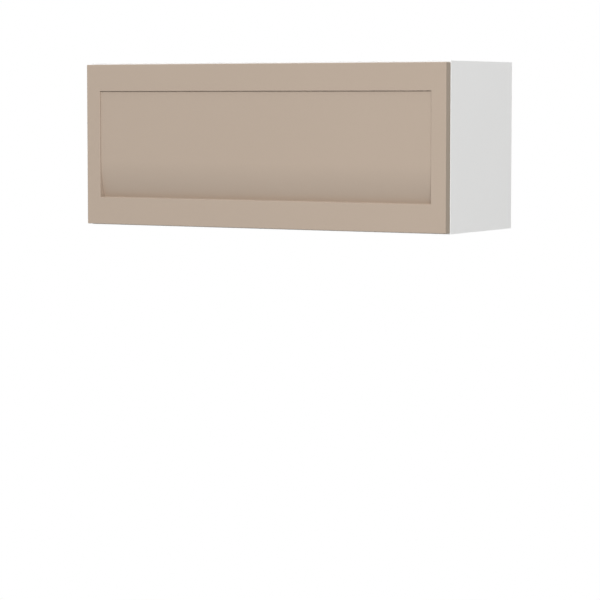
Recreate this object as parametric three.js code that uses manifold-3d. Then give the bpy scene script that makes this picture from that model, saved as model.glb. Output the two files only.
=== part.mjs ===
// Lift up wall cabinet: a white board carcass closed by one wide framed front that swings up on two
// cup hinges, held by a spring lift unit on each side panel, and hung on the wall by two hangers.
// Millimetres. +X is the viewer's right, +Y points to the wall, +Z is up. The origin is at the
// middle of the underside of the whole cabinet.
import * as THREE from 'three';
import { mergeVertices } from 'three/addons/utils/BufferGeometryUtils.js';
import Module from 'manifold-3d';

const wasm = await Module();
wasm.setup();

// ---------------------------------------------------------------- driving dimensions

// Carcass boards
const CARCASS_WIDTH = 900;
const CARCASS_HEIGHT = 360;
const CARCASS_DEPTH = 295;
const BOARD = 18;
const EDGE_BAND = 1;
const BACK_THICKNESS = 8;
const BACK_INSET = 18; // free space behind the back panel, for the wall rail
const GROOVE_DEPTH = 8;
const PANEL_PLAY = 0.2; // back panel in its grooves, each side
const GROOVE_END_PLAY = 0.5;

// Clearance between fitted pieces that are round or that turn
const FIT_GAP = 0.3;

// How far a cutting tool runs past the face that it cuts
const PAST = 1;

// Cam locks that draw the horizontal boards to the side panels
const CAM_RADIUS = 7.3;
const CAM_POCKET_DEPTH = 12.5;
const CAM_FROM_END = 34;
const CAM_FRONT_SETBACK = 100;
const CAM_REAR_SETBACK = 60;
const CAM_SLOT_LENGTH = 9;
const CAM_SLOT_WIDTH = 1.6;
const CAM_SLOT_DEPTH = 2;

// Front: two stiles, two rails and a centre panel that rolls back into a finger pull
const FRONT_THICKNESS = 20;
const FRONT_GAP = 1; // between the closed front and the carcass
const REVEAL_SIDE = 0.5;
const REVEAL_TOP = 3;
const REVEAL_BOTTOM = 2;
const STILE = 35;
const TOP_RAIL = 59;
const BOTTOM_RAIL = 60;
const RECESS = 3; // centre panel behind the frame's face
const SCOOP_HEIGHT = 81;
const SCOOP_DEPTH = 17;
const PANEL_FLANGE = 3;
const REBATE = 10;

// Bumper pads between the closed front and the carcass
const BUMPER_RADIUS = 4;
const BUMPER_FROM_CORNER = 9;
const BUMPER_PLAY = 0.1;

// Cup hinges under the top panel
const HINGE_FROM_SIDE = 100; // cup centre to the carcass's outer side
const CUP_RADIUS = 17.5;
const CUP_DEPTH = 12.2;
const CUP_WALL = 1;
const CUP_FLOOR = 1.2;
const CUP_EDGE_DISTANCE = 3; // cup bore to the front's top edge
const WING_LENGTH = 58;
const WING_HEIGHT = 12;
const WING_THICKNESS = 0.8;
const WING_CORNER = 3;
const WING_DROP = 9.5; // wing screws below the cup's centre
const WING_SCREW_SPACING = 45;
const SCREW_RADIUS = 1.5;
const SCREW_LENGTH = 11;
const SCREW_HEAD_RADIUS = 3.5;
const SCREW_HEAD_HEIGHT = 1.4;
const ARM_PIVOT_SETBACK = 2; // behind the carcass front
const ARM_PIVOT_DROP = 8; // below the top panel
const CUP_PIVOT_DEPTH = 3; // inside the front's back face
const CUP_PIVOT_DROP = 7; // below the front's top edge
const HINGE_LINK_TURN = 40; // degrees that the outer link turns while the front opens
const HINGE_PIN_RADIUS = 1;
const LINK_EYE_RADIUS = 2.3;
const LINK_WIDTH = 4.4;
const LINK_SPACING = 0.8; // between the two links, side by side
const OUTER_LINK_THICKNESS = 2.6;
const INNER_LINK_THICKNESS = 1.4;
const OUTER_LINK_CUP_BEND = [-5.4, -4.5]; // from the cup pivot, inside the cup
const OUTER_LINK_ARM_BEND = [-3, 4]; // from the arm pivot
const INNER_LINK_PIVOT = [6.34, -6.91]; // from the arm pivot
const INNER_LINK_TIP = [-4, 0]; // from the cup pivot
const INNER_LINK_TIP_BEND = [-6.1, -2.1]; // from the cup pivot
const INNER_LINK_LOW_BEND = [-12, -10]; // from the arm pivot
const ARM_LENGTH = 62;
const ARM_WIDTH = 15;
const ARM_SHEET = 1.5;
const ARM_NOSE_BELOW = 3; // the nose's height, from the arm pivot
const ARM_NOSE_ABOVE = 2.5;
const ARM_BELLY_REACH = 3; // flat of the belly, to each side of the inner link's pivot
const ARM_WAIST_REACH = 12; // where the belly starts to rise to the tail
const ARM_WAIST_RISE = 2;
const ARM_TAIL_HEIGHT = 9;
const ARM_WEB_START = 5; // behind the inner link's pivot; the nose is open for the links
const PLATE_THICKNESS = 2.5;
const PLATE_START = 26;
const PLATE_LENGTH = 34;
const PLATE_WIDTH = 20;
const PLATE_WING_SPAN = 50;
const PLATE_WING_LENGTH = 12;

// Spring lift units on the side panels
const LIFT_PIVOT_REACH = 80; // lever axle from the hinge's arm pivot
const HOUSING_LENGTH = 160;
const HOUSING_HEIGHT = 80;
const HOUSING_DEPTH = 16;
const HOUSING_WALL = 2;
const HOUSING_CORNER = 12;
const HOUSING_SETBACK = 34; // behind the carcass front
const HOUSING_ABOVE_AXLE = 29;
const COVER_THICKNESS = 1.5;
const LEVER_THICKNESS = 4;
const LEVER_HALF_WIDTH = 9;
const LEVER_EYE_RADIUS = 13;
const LIFT_LINK_HALF_WIDTH = 8;
const LIFT_LINK_PLAY = 1.1; // round the front pin, where the linkage closes
const SIDE_GAP = 0.5; // between lever, link and bracket ear, side by side
const AXLE_RADIUS = 6;
const AXLE_HEAD_RADIUS = 9;
const PIN_RADIUS = 3;
const PIN_HEAD_RADIUS = 5;
const HEAD_THICKNESS = 1.2;
const CAM_PLATE_RADIUS = 16;
const CAM_PLATE_HEEL = 11;
const CAM_PLATE_THICKNESS = 6;
const SPRING_RADIUS = 4.8;
const SPRING_WIRE_RADIUS = 1.1;
const SPRING_TURNS = 12;
const BRACKET_PIN_STANDOFF = 15; // behind the front's back face
const BRACKET_PIN_DROP = 100; // below the cup pivot
const BRACKET_EAR_THICKNESS = 3;
const BRACKET_EAR_RADIUS = 8;
const BRACKET_FOOT_WIDTH = 23;
const BRACKET_FOOT_HEIGHT = 44;
const BRACKET_FOOT_THICKNESS = 2;

// Wall hangers in the upper rear corners
const HANGER_WIDTH = 22;
const HANGER_LENGTH = 50;
const HANGER_HEIGHT = 52;
const HOOK_THICKNESS = 4;
const HOOK_BAR_HEIGHT = 12;
const HOOK_BAR_DROP = 24; // top of the bar below the hanger's top
const HOOK_INSERT = 38; // length of the bar inside the hanger
const HOOK_REACH = 10; // from the hanger's rear face to the tip
const HOOK_TIP_THICKNESS = 5;
const HOOK_TIP_HEIGHT = 26;
const HOOK_TRAVEL = 4; // height adjustment, up and down

// Facets
const ROUND_SIDES = 32;
const SMALL_SIDES = 16;
const ARC_STEPS = 5;
const COIL_STEPS = 8; // per turn of the spring
const COIL_SIDES = 5;

// ---------------------------------------------------------------- places worked out from them

const halfWidth = CARCASS_WIDTH / 2;
const sideInner = halfWidth - BOARD;
const ceiling = CARCASS_HEIGHT - BOARD; // underside of the top panel
const backRear = CARCASS_DEPTH - BACK_INSET;
const backFront = backRear - BACK_THICKNESS;

const frontBack = -FRONT_GAP;
const frontFace = frontBack - FRONT_THICKNESS;
const frontHalf = halfWidth - REVEAL_SIDE;
const frontBottom = REVEAL_BOTTOM;
const frontTop = CARCASS_HEIGHT - REVEAL_TOP;
const openingHalf = frontHalf - STILE;
const openingBottom = frontBottom + BOTTOM_RAIL;
const openingTop = frontTop - TOP_RAIL;
const rebateDepth = PANEL_FLANGE + PANEL_PLAY;

const cupCentre = frontTop - CUP_EDGE_DISTANCE - CUP_RADIUS;
const armPivot = [ARM_PIVOT_SETBACK, ceiling - ARM_PIVOT_DROP];
const cupPivot = [frontBack - CUP_PIVOT_DEPTH, frontTop - CUP_PIVOT_DROP];
const innerPivot = plus(armPivot, INNER_LINK_PIVOT);

// The lever axle lies on the line that halves the outer link's turn, so that the distance from the
// axle to the cup pivot is the same with the front closed and open.
const linkAngle = Math.atan2(cupPivot[1] - armPivot[1], cupPivot[0] - armPivot[0]);
const halfTurned = linkAngle + THREE.MathUtils.degToRad(HINGE_LINK_TURN) / 2;
const leverAxle = [
  armPivot[0] - LIFT_PIVOT_REACH * Math.cos(halfTurned),
  armPivot[1] - LIFT_PIVOT_REACH * Math.sin(halfTurned),
];
const bracketPin = [frontBack + BRACKET_PIN_STANDOFF, cupPivot[1] - BRACKET_PIN_DROP];
// The lever is parallel to the line from the cup pivot to the bracket pin, and as long.
const elbow = [
  leverAxle[0] + bracketPin[0] - cupPivot[0],
  leverAxle[1] + bracketPin[1] - cupPivot[1],
];

// Layers of a lift unit, as distances from the middle of the cabinet
const coverOuter = sideInner - HOUSING_DEPTH;
const coverInner = coverOuter - COVER_THICKNESS;
const leverOuter = coverInner - SIDE_GAP;
const leverInner = leverOuter - LEVER_THICKNESS;
const liftLinkOuter = leverInner - SIDE_GAP;
const liftLinkInner = liftLinkOuter - LEVER_THICKNESS;
const earOuter = liftLinkInner - SIDE_GAP;
const earInner = earOuter - BRACKET_EAR_THICKNESS;

const hangerInner = sideInner - HANGER_WIDTH;
const hangerBottom = ceiling - HANGER_HEIGHT;

function plus(a, b) {
  return [a[0] + b[0], a[1] + b[1]];
}

// ---------------------------------------------------------------- shapes

const AXIS_X = new THREE.Vector3(1, 0, 0);
const AXIS_Y = new THREE.Vector3(0, 1, 0);
const AXIS_Z = new THREE.Vector3(0, 0, 1);

function polygon(points) {
  return new THREE.Shape(points.map(([u, v]) => new THREE.Vector2(u, v)));
}

function roundedRectangle(low, high, radius) {
  const shape = new THREE.Shape();
  shape.absarc(high[0] - radius, low[1] + radius, radius, -Math.PI / 2, 0, false);
  shape.absarc(high[0] - radius, high[1] - radius, radius, 0, Math.PI / 2, false);
  shape.absarc(low[0] + radius, high[1] - radius, radius, Math.PI / 2, Math.PI, false);
  shape.absarc(low[0] + radius, low[1] + radius, radius, Math.PI, 1.5 * Math.PI, false);
  shape.closePath();
  return shape;
}

// A strap of even width along a row of points, with round ends and mitred bends.
function strap(points, half) {
  const row = points.map(([u, v]) => new THREE.Vector2(u, v));
  const last = row.length - 1;
  const along = row.slice(1).map((point, i) => point.clone().sub(row[i]).normalize());
  const leftOf = (i) => {
    const before = along[Math.max(i - 1, 0)];
    const after = along[Math.min(i, last - 1)];
    const middle = before.clone().add(after).normalize();
    return new THREE.Vector2(-middle.y, middle.x).multiplyScalar(half / middle.dot(after));
  };
  const shape = new THREE.Shape();
  const startAngle = leftOf(0).angle();
  const endAngle = leftOf(last).angle();
  shape.absarc(row[0].x, row[0].y, half, startAngle + Math.PI, startAngle, true);
  for (let i = 1; i < last; i += 1) {
    const point = row[i].clone().add(leftOf(i));
    shape.lineTo(point.x, point.y);
  }
  shape.absarc(row[last].x, row[last].y, half, endAngle, endAngle - Math.PI, true);
  for (let i = last - 1; i > 0; i -= 1) {
    const point = row[i].clone().sub(leftOf(i));
    shape.lineTo(point.x, point.y);
  }
  shape.closePath();
  return shape;
}

function extrude(shape, depth) {
  return new THREE.ExtrudeGeometry(shape, { depth, bevelEnabled: false, curveSegments: ARC_STEPS });
}

// Outline in (Y, Z), extruded along X.
function alongX(shape, from, to) {
  const low = Math.min(from, to);
  const turned = new THREE.Matrix4().makeBasis(AXIS_Y, AXIS_Z, AXIS_X);
  return extrude(shape, Math.abs(to - from)).applyMatrix4(turned).translate(low, 0, 0);
}

// Outline in (X, Z), extruded along Y.
function alongY(shape, from, to) {
  const turned = new THREE.Matrix4().makeBasis(AXIS_X, AXIS_Z, AXIS_Y.clone().negate());
  return extrude(shape, to - from).applyMatrix4(turned).translate(0, to, 0);
}

// Outline in (X, Y), extruded along Z.
function alongZ(shape, from, to) {
  return extrude(shape, to - from).translate(0, 0, from);
}

function block(x, y, z) {
  const box = new THREE.BoxGeometry(Math.abs(x[1] - x[0]), y[1] - y[0], z[1] - z[0]);
  return box.translate((x[0] + x[1]) / 2, (y[0] + y[1]) / 2, (z[0] + z[1]) / 2);
}

function rodX(radius, from, to, [y, z], sides = ROUND_SIDES) {
  const rod = new THREE.CylinderGeometry(radius, radius, Math.abs(to - from), sides);
  return rod.rotateZ(Math.PI / 2).translate((from + to) / 2, y, z);
}

function rodY(radius, from, to, [x, z], sides = ROUND_SIDES) {
  const rod = new THREE.CylinderGeometry(radius, radius, to - from, sides);
  return rod.translate(x, (from + to) / 2, z);
}

function rodZ(radius, from, to, [x, y], sides = ROUND_SIDES) {
  const rod = new THREE.CylinderGeometry(radius, radius, to - from, sides);
  return rod.rotateX(Math.PI / 2).translate(x, y, (from + to) / 2);
}

function asSolid(geometry) {
  const bare = geometry.clone();
  bare.deleteAttribute('normal');
  bare.deleteAttribute('uv');
  const merged = mergeVertices(bare, 1e-4);
  return new wasm.Manifold(new wasm.Mesh({
    numProp: 3,
    vertProperties: Float32Array.from(merged.attributes.position.array),
    triVerts: Uint32Array.from(merged.index.array),
  }));
}

function asGeometry(solid) {
  const { vertProperties, triVerts } = solid.getMesh();
  const geometry = new THREE.BufferGeometry();
  geometry.setAttribute('position', new THREE.BufferAttribute(vertProperties, 3));
  geometry.setIndex(new THREE.BufferAttribute(triVerts, 1));
  geometry.computeVertexNormals();
  return geometry;
}

function cut(base, ...tools) {
  const left = tools.reduce((solid, tool) => solid.subtract(asSolid(tool)), asSolid(base));
  return asGeometry(left);
}

function join(first, ...others) {
  const whole = others.reduce((solid, other) => solid.add(asSolid(other)), asSolid(first));
  return asGeometry(whole);
}

function common(a, b) {
  return asGeometry(asSolid(a).intersect(asSolid(b)));
}

// ---------------------------------------------------------------- materials

function material(red, green, blue, roughness, metalness) {
  const color = new THREE.Color().setRGB(red, green, blue, THREE.SRGBColorSpace);
  return new THREE.MeshStandardMaterial({ color, roughness, metalness });
}

const whiteBoard = material(0.87, 0.87, 0.865, 0.5, 0);
const beigeFront = material(0.74, 0.68, 0.62, 0.42, 0);
const steel = material(0.72, 0.72, 0.71, 0.3, 1);
const zinc = material(0.6, 0.6, 0.6, 0.45, 0.9);
const greyPlastic = material(0.62, 0.63, 0.64, 0.5, 0);
const springSteel = material(0.35, 0.35, 0.36, 0.35, 1);
const clearRubber = material(0.8, 0.8, 0.78, 0.6, 0);

const sides = [['left', -1], ['right', 1]];

// The carcass front plane is Y = 0 in this group, and the whole cabinet is centred on its depth.
const cabinet = new THREE.Group();
cabinet.position.y = (FRONT_THICKNESS + FRONT_GAP - CARCASS_DEPTH) / 2;

function add(name, geometry, look, parent = cabinet) {
  const mesh = new THREE.Mesh(geometry, look);
  mesh.name = name;
  parent.add(mesh);
  return mesh;
}

// ---------------------------------------------------------------- carcass boards

// Side panel, upright, with a stopped groove for the back panel down its inner face.
function sidePanel(side) {
  const board = block([side * sideInner, side * halfWidth], [EDGE_BAND, CARCASS_DEPTH], [0, CARCASS_HEIGHT]);
  const groove = block(
    [side * (sideInner - PAST), side * (sideInner + GROOVE_DEPTH)],
    [backFront - PANEL_PLAY, backRear + PANEL_PLAY],
    [BOARD - GROOVE_DEPTH, ceiling + GROOVE_DEPTH],
  );
  return cut(board, groove);
}

const camX = sideInner - CAM_FROM_END;
const camPlaces = [['front', CAM_FRONT_SETBACK], ['rear', CARCASS_DEPTH - CAM_REAR_SETBACK]];

// Top or bottom panel between the sides, grooved on its inner face, with cam pockets open upwards.
function levelBoard(outer, inner) {
  const intoBoard = Math.sign(outer - inner) * GROOVE_DEPTH;
  const outline = [
    [EDGE_BAND, outer],
    [CARCASS_DEPTH, outer],
    [CARCASS_DEPTH, inner],
    [backRear + PANEL_PLAY, inner],
    [backRear + PANEL_PLAY, inner + intoBoard],
    [backFront - PANEL_PLAY, inner + intoBoard],
    [backFront - PANEL_PLAY, inner],
    [EDGE_BAND, inner],
  ];
  const upper = Math.max(outer, inner);
  const pockets = sides.flatMap(([, side]) => camPlaces.map(([, y]) => (
    rodZ(CAM_RADIUS + FIT_GAP, upper - CAM_POCKET_DEPTH, upper + PAST, [side * camX, y])
  )));
  return cut(alongX(polygon(outline), -sideInner, sideInner), ...pockets);
}

// Cam lock: a zinc drum with a screwdriver slot in its upper face.
function camLock() {
  const height = CAM_POCKET_DEPTH - FIT_GAP;
  const slot = block(
    [-CAM_SLOT_LENGTH / 2, CAM_SLOT_LENGTH / 2],
    [-CAM_SLOT_WIDTH / 2, CAM_SLOT_WIDTH / 2],
    [height - CAM_SLOT_DEPTH, height + PAST],
  );
  return cut(rodZ(CAM_RADIUS, 0, height, [0, 0]), slot);
}

// Back panel in the grooves, with its upper corners cut out round the wall hangers.
function backPanel() {
  const half = sideInner + GROOVE_DEPTH - GROOVE_END_PLAY;
  const low = BOARD - GROOVE_DEPTH + GROOVE_END_PLAY;
  const high = ceiling + GROOVE_DEPTH - GROOVE_END_PLAY;
  const notchX = hangerInner - FIT_GAP;
  const notchZ = hangerBottom - FIT_GAP;
  const outline = [
    [-half, low], [half, low], [half, notchZ], [notchX, notchZ], [notchX, high],
    [-notchX, high], [-notchX, notchZ], [-half, notchZ],
  ];
  return alongY(polygon(outline), backFront, backRear);
}

for (const [name, side] of sides) {
  add(`side_panel_${name}`, sidePanel(side), whiteBoard);
  const band = block([side * sideInner, side * halfWidth], [0, EDGE_BAND], [0, CARCASS_HEIGHT]);
  add(`edge_band_${name}`, band, whiteBoard);
}

const levels = [['top', CARCASS_HEIGHT, ceiling], ['bottom', 0, BOARD]];
for (const [level, outer, inner] of levels) {
  add(`${level}_panel`, levelBoard(outer, inner), whiteBoard);
  const band = [Math.min(outer, inner), Math.max(outer, inner)];
  add(`edge_band_${level}`, block([-sideInner, sideInner], [0, EDGE_BAND], band), whiteBoard);
  for (const [name, side] of sides) {
    for (const [place, y] of camPlaces) {
      const cam = add(`cam_lock_${level}_${name}_${place}`, camLock(), zinc);
      cam.position.set(side * camX, y, Math.max(outer, inner) - CAM_POCKET_DEPTH);
    }
  }
}

add('back_panel', backPanel(), whiteBoard);

// ---------------------------------------------------------------- wall hangers

const hangerRear = backRear - PANEL_PLAY;
const hookMiddle = sideInner - HANGER_WIDTH / 2;
const barTop = ceiling - HOOK_BAR_DROP;
const barBottom = barTop - HOOK_BAR_HEIGHT;
const barStart = hangerRear - HOOK_INSERT;

// Hanger body: a block fixed to the side panel, with a slot in which the hook moves up and down.
function hangerBody(side) {
  const body = block(
    [side * hangerInner, side * sideInner],
    [hangerRear - HANGER_LENGTH, hangerRear],
    [hangerBottom, ceiling],
  );
  const slotHalf = HOOK_THICKNESS / 2 + FIT_GAP;
  const slot = block(
    [side * hookMiddle - slotHalf, side * hookMiddle + slotHalf],
    [barStart - FIT_GAP, hangerRear + PAST],
    [barBottom - HOOK_TRAVEL - FIT_GAP, barTop + HOOK_TRAVEL + FIT_GAP],
  );
  return cut(body, slot);
}

// Hook: a steel plate with a tip turned down behind the wall rail.
function hangerHook(side) {
  const tipRear = hangerRear + HOOK_REACH + HOOK_TIP_THICKNESS;
  const outline = [
    [barStart, barBottom], [tipRear - HOOK_TIP_THICKNESS, barBottom],
    [tipRear - HOOK_TIP_THICKNESS, barTop - HOOK_TIP_HEIGHT], [tipRear, barTop - HOOK_TIP_HEIGHT],
    [tipRear, barTop], [barStart, barTop],
  ];
  const half = HOOK_THICKNESS / 2;
  return alongX(polygon(outline), side * hookMiddle - half, side * hookMiddle + half);
}

for (const [name, side] of sides) {
  add(`hanger_body_${name}`, hangerBody(side), greyPlastic);
  add(`hanger_hook_${name}`, hangerHook(side), steel);
}

// ---------------------------------------------------------------- front

const hingePlaces = sides.map(([name, side]) => [name, side * (halfWidth - HINGE_FROM_SIDE)]);
const screwPlaces = sides.map(([name, side]) => [name, side * WING_SCREW_SPACING / 2]);
const wingCentre = cupCentre - WING_DROP;
const screwTip = frontBack + WING_THICKNESS - SCREW_LENGTH;

// Room for the centre panel's flange, milled into the back of the frame.
function rebate() {
  return block(
    [-openingHalf - REBATE, openingHalf + REBATE],
    [frontBack - rebateDepth, frontBack + PAST],
    [openingBottom - REBATE, openingTop + REBATE],
  );
}

function frontBar(x, z) {
  return cut(block(x, [frontFace, frontBack], z), rebate());
}

// Top rail, bored from behind for the hinge cups and their screws.
function topRail() {
  const bores = hingePlaces.flatMap(([, x]) => [
    rodY(CUP_RADIUS + FIT_GAP, frontBack - CUP_DEPTH - FIT_GAP, frontBack + PAST, [x, cupCentre]),
    ...screwPlaces.map(([, offset]) => rodY(
      SCREW_RADIUS + FIT_GAP, screwTip - FIT_GAP, frontBack + PAST, [x + offset, wingCentre], SMALL_SIDES,
    )),
  ]);
  return cut(frontBar([-openingHalf, openingHalf], [openingTop, frontTop]), ...bores);
}

// Centre panel: flat behind the frame's face, rolled back at its foot in one arc that ends at the
// depth of the finger pull, on a thin flange that is glued into the frame's rebate.
function centrePanel() {
  const face = frontFace + RECESS;
  const foot = frontFace + SCOOP_DEPTH;
  const low = openingBottom + FIT_GAP;
  const high = openingTop - FIT_GAP;
  const rise = SCOOP_DEPTH - RECESS;
  const radius = (SCOOP_HEIGHT ** 2 + rise ** 2) / (2 * rise);
  const outline = new THREE.Shape();
  outline.moveTo(frontBack, low);
  outline.lineTo(foot, low);
  const footAngle = Math.PI + Math.asin(SCOOP_HEIGHT / radius);
  outline.absarc(face + radius, low + SCOOP_HEIGHT, radius, footAngle, Math.PI, true);
  outline.lineTo(face, high);
  outline.lineTo(frontBack, high);
  outline.closePath();
  const half = openingHalf - FIT_GAP;
  const reach = REBATE - FIT_GAP;
  const flange = block(
    [-openingHalf - reach, openingHalf + reach],
    [frontBack - PANEL_FLANGE, frontBack],
    [openingBottom - reach, openingTop + reach],
  );
  return join(alongX(outline, -half, half), flange);
}

for (const [name, side] of sides) {
  const stile = frontBar([side * openingHalf, side * frontHalf], [frontBottom, frontTop]);
  add(`front_stile_${name}`, stile, beigeFront);
  const padX = side * (halfWidth - BUMPER_FROM_CORNER);
  const pad = rodY(BUMPER_RADIUS, frontBack + BUMPER_PLAY, 0, [padX, BUMPER_FROM_CORNER], SMALL_SIDES);
  add(`bumper_pad_${name}`, pad, clearRubber);
}
add('front_rail_top', topRail(), beigeFront);
const lowRail = frontBar([-openingHalf, openingHalf], [frontBottom, openingBottom]);
add('front_rail_bottom', lowRail, beigeFront);
add('front_centre_panel', centrePanel(), beigeFront);

// ---------------------------------------------------------------- cup hinges

// Cup: a pressed steel pot let into the front, with a wing on each side for its screws.
function hingeCup() {
  const floor = frontBack - CUP_DEPTH;
  const pot = rodY(CUP_RADIUS, floor, frontBack, [0, cupCentre]);
  const wingZ = [wingCentre - WING_HEIGHT / 2, wingCentre + WING_HEIGHT / 2];
  const wingFace = frontBack + WING_THICKNESS;
  const wing = roundedRectangle([-WING_LENGTH / 2, wingZ[0]], [WING_LENGTH / 2, wingZ[1]], WING_CORNER);
  const bridge = common(
    rodY(CUP_RADIUS, frontBack - CUP_WALL, wingFace, [0, cupCentre]),
    block([-CUP_RADIUS, CUP_RADIUS], [floor, wingFace], wingZ),
  );
  const hollow = rodY(CUP_RADIUS - CUP_WALL, floor + CUP_FLOOR, wingFace + PAST, [0, cupCentre]);
  const holes = screwPlaces.map(([, x]) => (
    rodY(SCREW_RADIUS + FIT_GAP, frontBack - PAST, wingFace + PAST, [x, wingCentre], SMALL_SIDES)
  ));
  return cut(join(pot, bridge, alongY(wing, frontBack, wingFace)), hollow, ...holes);
}

function cupScrew(x) {
  const seat = frontBack + WING_THICKNESS;
  const head = rodY(SCREW_HEAD_RADIUS, seat, seat + SCREW_HEAD_HEIGHT, [x, wingCentre], SMALL_SIDES);
  const shank = rodY(SCREW_RADIUS, screwTip, seat + SCREW_HEAD_HEIGHT / 2, [x, wingCentre], SMALL_SIDES);
  return join(head, shank);
}

// Arm: a folded channel, open towards the mounting plate, with the link pins across its open nose.
function hingeArm() {
  const top = ceiling - PLATE_THICKNESS;
  const nose = FIT_GAP - FRONT_GAP;
  const low = innerPivot[1] - 2 * LINK_EYE_RADIUS;
  const belly = [
    [innerPivot[0] + ARM_BELLY_REACH, low],
    [innerPivot[0] + ARM_WAIST_REACH, low + ARM_WAIST_RISE],
    [ARM_LENGTH, top - ARM_TAIL_HEIGHT],
  ];
  const outline = polygon([
    [nose, armPivot[1] - ARM_NOSE_BELOW], [innerPivot[0] - ARM_BELLY_REACH, low], ...belly,
    [ARM_LENGTH, top], [armPivot[0], top], [nose, armPivot[1] + ARM_NOSE_ABOVE],
  ]);
  const hollow = polygon([
    [nose - PAST, low + ARM_SHEET], ...belly.map(([y, z]) => [y, z + ARM_SHEET]),
    [ARM_LENGTH + PAST, top - ARM_TAIL_HEIGHT + ARM_SHEET],
    [ARM_LENGTH + PAST, top + PAST], [nose - PAST, top + PAST],
  ]);
  const inside = ARM_WIDTH / 2 - ARM_SHEET;
  const webStart = innerPivot[0] + ARM_WEB_START;
  const noseCut = block([-inside, inside], [nose - PAST, webStart], [low - PAST, top + PAST]);
  const shell = cut(
    alongX(outline, -ARM_WIDTH / 2, ARM_WIDTH / 2), alongX(hollow, -inside, inside), noseCut,
  );
  const pins = [armPivot, innerPivot].map((pivot) => (
    rodX(HINGE_PIN_RADIUS, -ARM_WIDTH / 2, ARM_WIDTH / 2, pivot, SMALL_SIDES)
  ));
  return join(shell, ...pins);
}

// Mounting plate: a cross screwed to the underside of the top panel.
function mountingPlate() {
  const [body, wing] = [PLATE_WIDTH / 2, PLATE_WING_SPAN / 2];
  const end = PLATE_START + PLATE_LENGTH;
  const wingStart = (PLATE_START + end - PLATE_WING_LENGTH) / 2;
  const wingEnd = wingStart + PLATE_WING_LENGTH;
  const outline = [
    [-body, PLATE_START], [body, PLATE_START], [body, wingStart], [wing, wingStart],
    [wing, wingEnd], [body, wingEnd], [body, end], [-body, end],
    [-body, wingEnd], [-wing, wingEnd], [-wing, wingStart], [-body, wingStart],
  ];
  return alongZ(polygon(outline), ceiling - PLATE_THICKNESS, ceiling);
}

// Outer link: a goose-neck from the arm's nose pin into the cup, ending in a cross barrel.
function outerLink() {
  const x = [-LINK_SPACING / 2 - LINK_WIDTH, -LINK_SPACING / 2];
  const half = OUTER_LINK_THICKNESS / 2;
  const row = [cupPivot, plus(cupPivot, OUTER_LINK_CUP_BEND), plus(armPivot, OUTER_LINK_ARM_BEND)];
  const body = alongX(strap([...row, armPivot], half), ...x);
  const eye = rodX(LINK_EYE_RADIUS, ...x, armPivot, SMALL_SIDES);
  const innerRadius = CUP_RADIUS - CUP_WALL - FIT_GAP;
  const barrelTop = cupPivot[1] + half - cupCentre;
  const barrelEnd = -Math.sqrt(innerRadius ** 2 - barrelTop ** 2);
  const barrel = rodX(half, barrelEnd, x[1], cupPivot, SMALL_SIDES);
  const bore = rodX(HINGE_PIN_RADIUS + FIT_GAP, x[0] - PAST, x[1] + PAST, armPivot, SMALL_SIDES);
  return cut(join(body, eye, barrel), bore);
}

// Inner link: a thinner strap beside the outer one, from the arm's rear pin to the cup's floor.
function innerLink() {
  const x = [LINK_SPACING / 2, LINK_SPACING / 2 + LINK_WIDTH];
  const row = [
    plus(cupPivot, INNER_LINK_TIP),
    plus(cupPivot, INNER_LINK_TIP_BEND),
    plus(armPivot, INNER_LINK_LOW_BEND),
    innerPivot,
  ];
  const body = alongX(strap(row, INNER_LINK_THICKNESS / 2), ...x);
  const eye = rodX(LINK_EYE_RADIUS, ...x, innerPivot, SMALL_SIDES);
  const bore = rodX(HINGE_PIN_RADIUS + FIT_GAP, x[0] - PAST, x[1] + PAST, innerPivot, SMALL_SIDES);
  return cut(join(body, eye), bore);
}

for (const [name, x] of hingePlaces) {
  const hinge = new THREE.Group();
  hinge.position.x = x;
  cabinet.add(hinge);
  add(`hinge_cup_${name}`, hingeCup(), steel, hinge);
  add(`hinge_arm_${name}`, hingeArm(), steel, hinge);
  add(`hinge_plate_${name}`, mountingPlate(), steel, hinge);
  add(`hinge_outer_link_${name}`, outerLink(), steel, hinge);
  add(`hinge_inner_link_${name}`, innerLink(), steel, hinge);
  for (const [place, offset] of screwPlaces) {
    add(`hinge_screw_${name}_${place}`, cupScrew(offset), zinc, hinge);
  }
}

// ---------------------------------------------------------------- spring lift units

const housingTop = leverAxle[1] + HOUSING_ABOVE_AXLE;
const housingLow = [HOUSING_SETBACK, housingTop - HOUSING_HEIGHT];
const housingHigh = [HOUSING_SETBACK + HOUSING_LENGTH, housingTop];
const housingMiddle = sideInner - HOUSING_DEPTH / 2;

function inset(point, by) {
  return [point[0] + by, point[1] + by];
}

// Housing: an open tray screwed to the side panel.
function liftHousing(side) {
  const outline = roundedRectangle(housingLow, housingHigh, HOUSING_CORNER);
  const hollow = roundedRectangle(
    inset(housingLow, HOUSING_WALL), inset(housingHigh, -HOUSING_WALL), HOUSING_CORNER - HOUSING_WALL,
  );
  return cut(
    alongX(outline, side * coverOuter, side * sideInner),
    alongX(hollow, side * (coverOuter - PAST), side * (sideInner - HOUSING_WALL)),
  );
}

// Cover: a plate that closes the tray, with a bore for the lever axle.
function liftCover(side) {
  const outline = roundedRectangle(housingLow, housingHigh, HOUSING_CORNER);
  return cut(
    alongX(outline, side * coverInner, side * coverOuter),
    rodX(AXLE_RADIUS + FIT_GAP, side * (coverInner - PAST), side * (coverOuter + PAST), leverAxle),
  );
}

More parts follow.
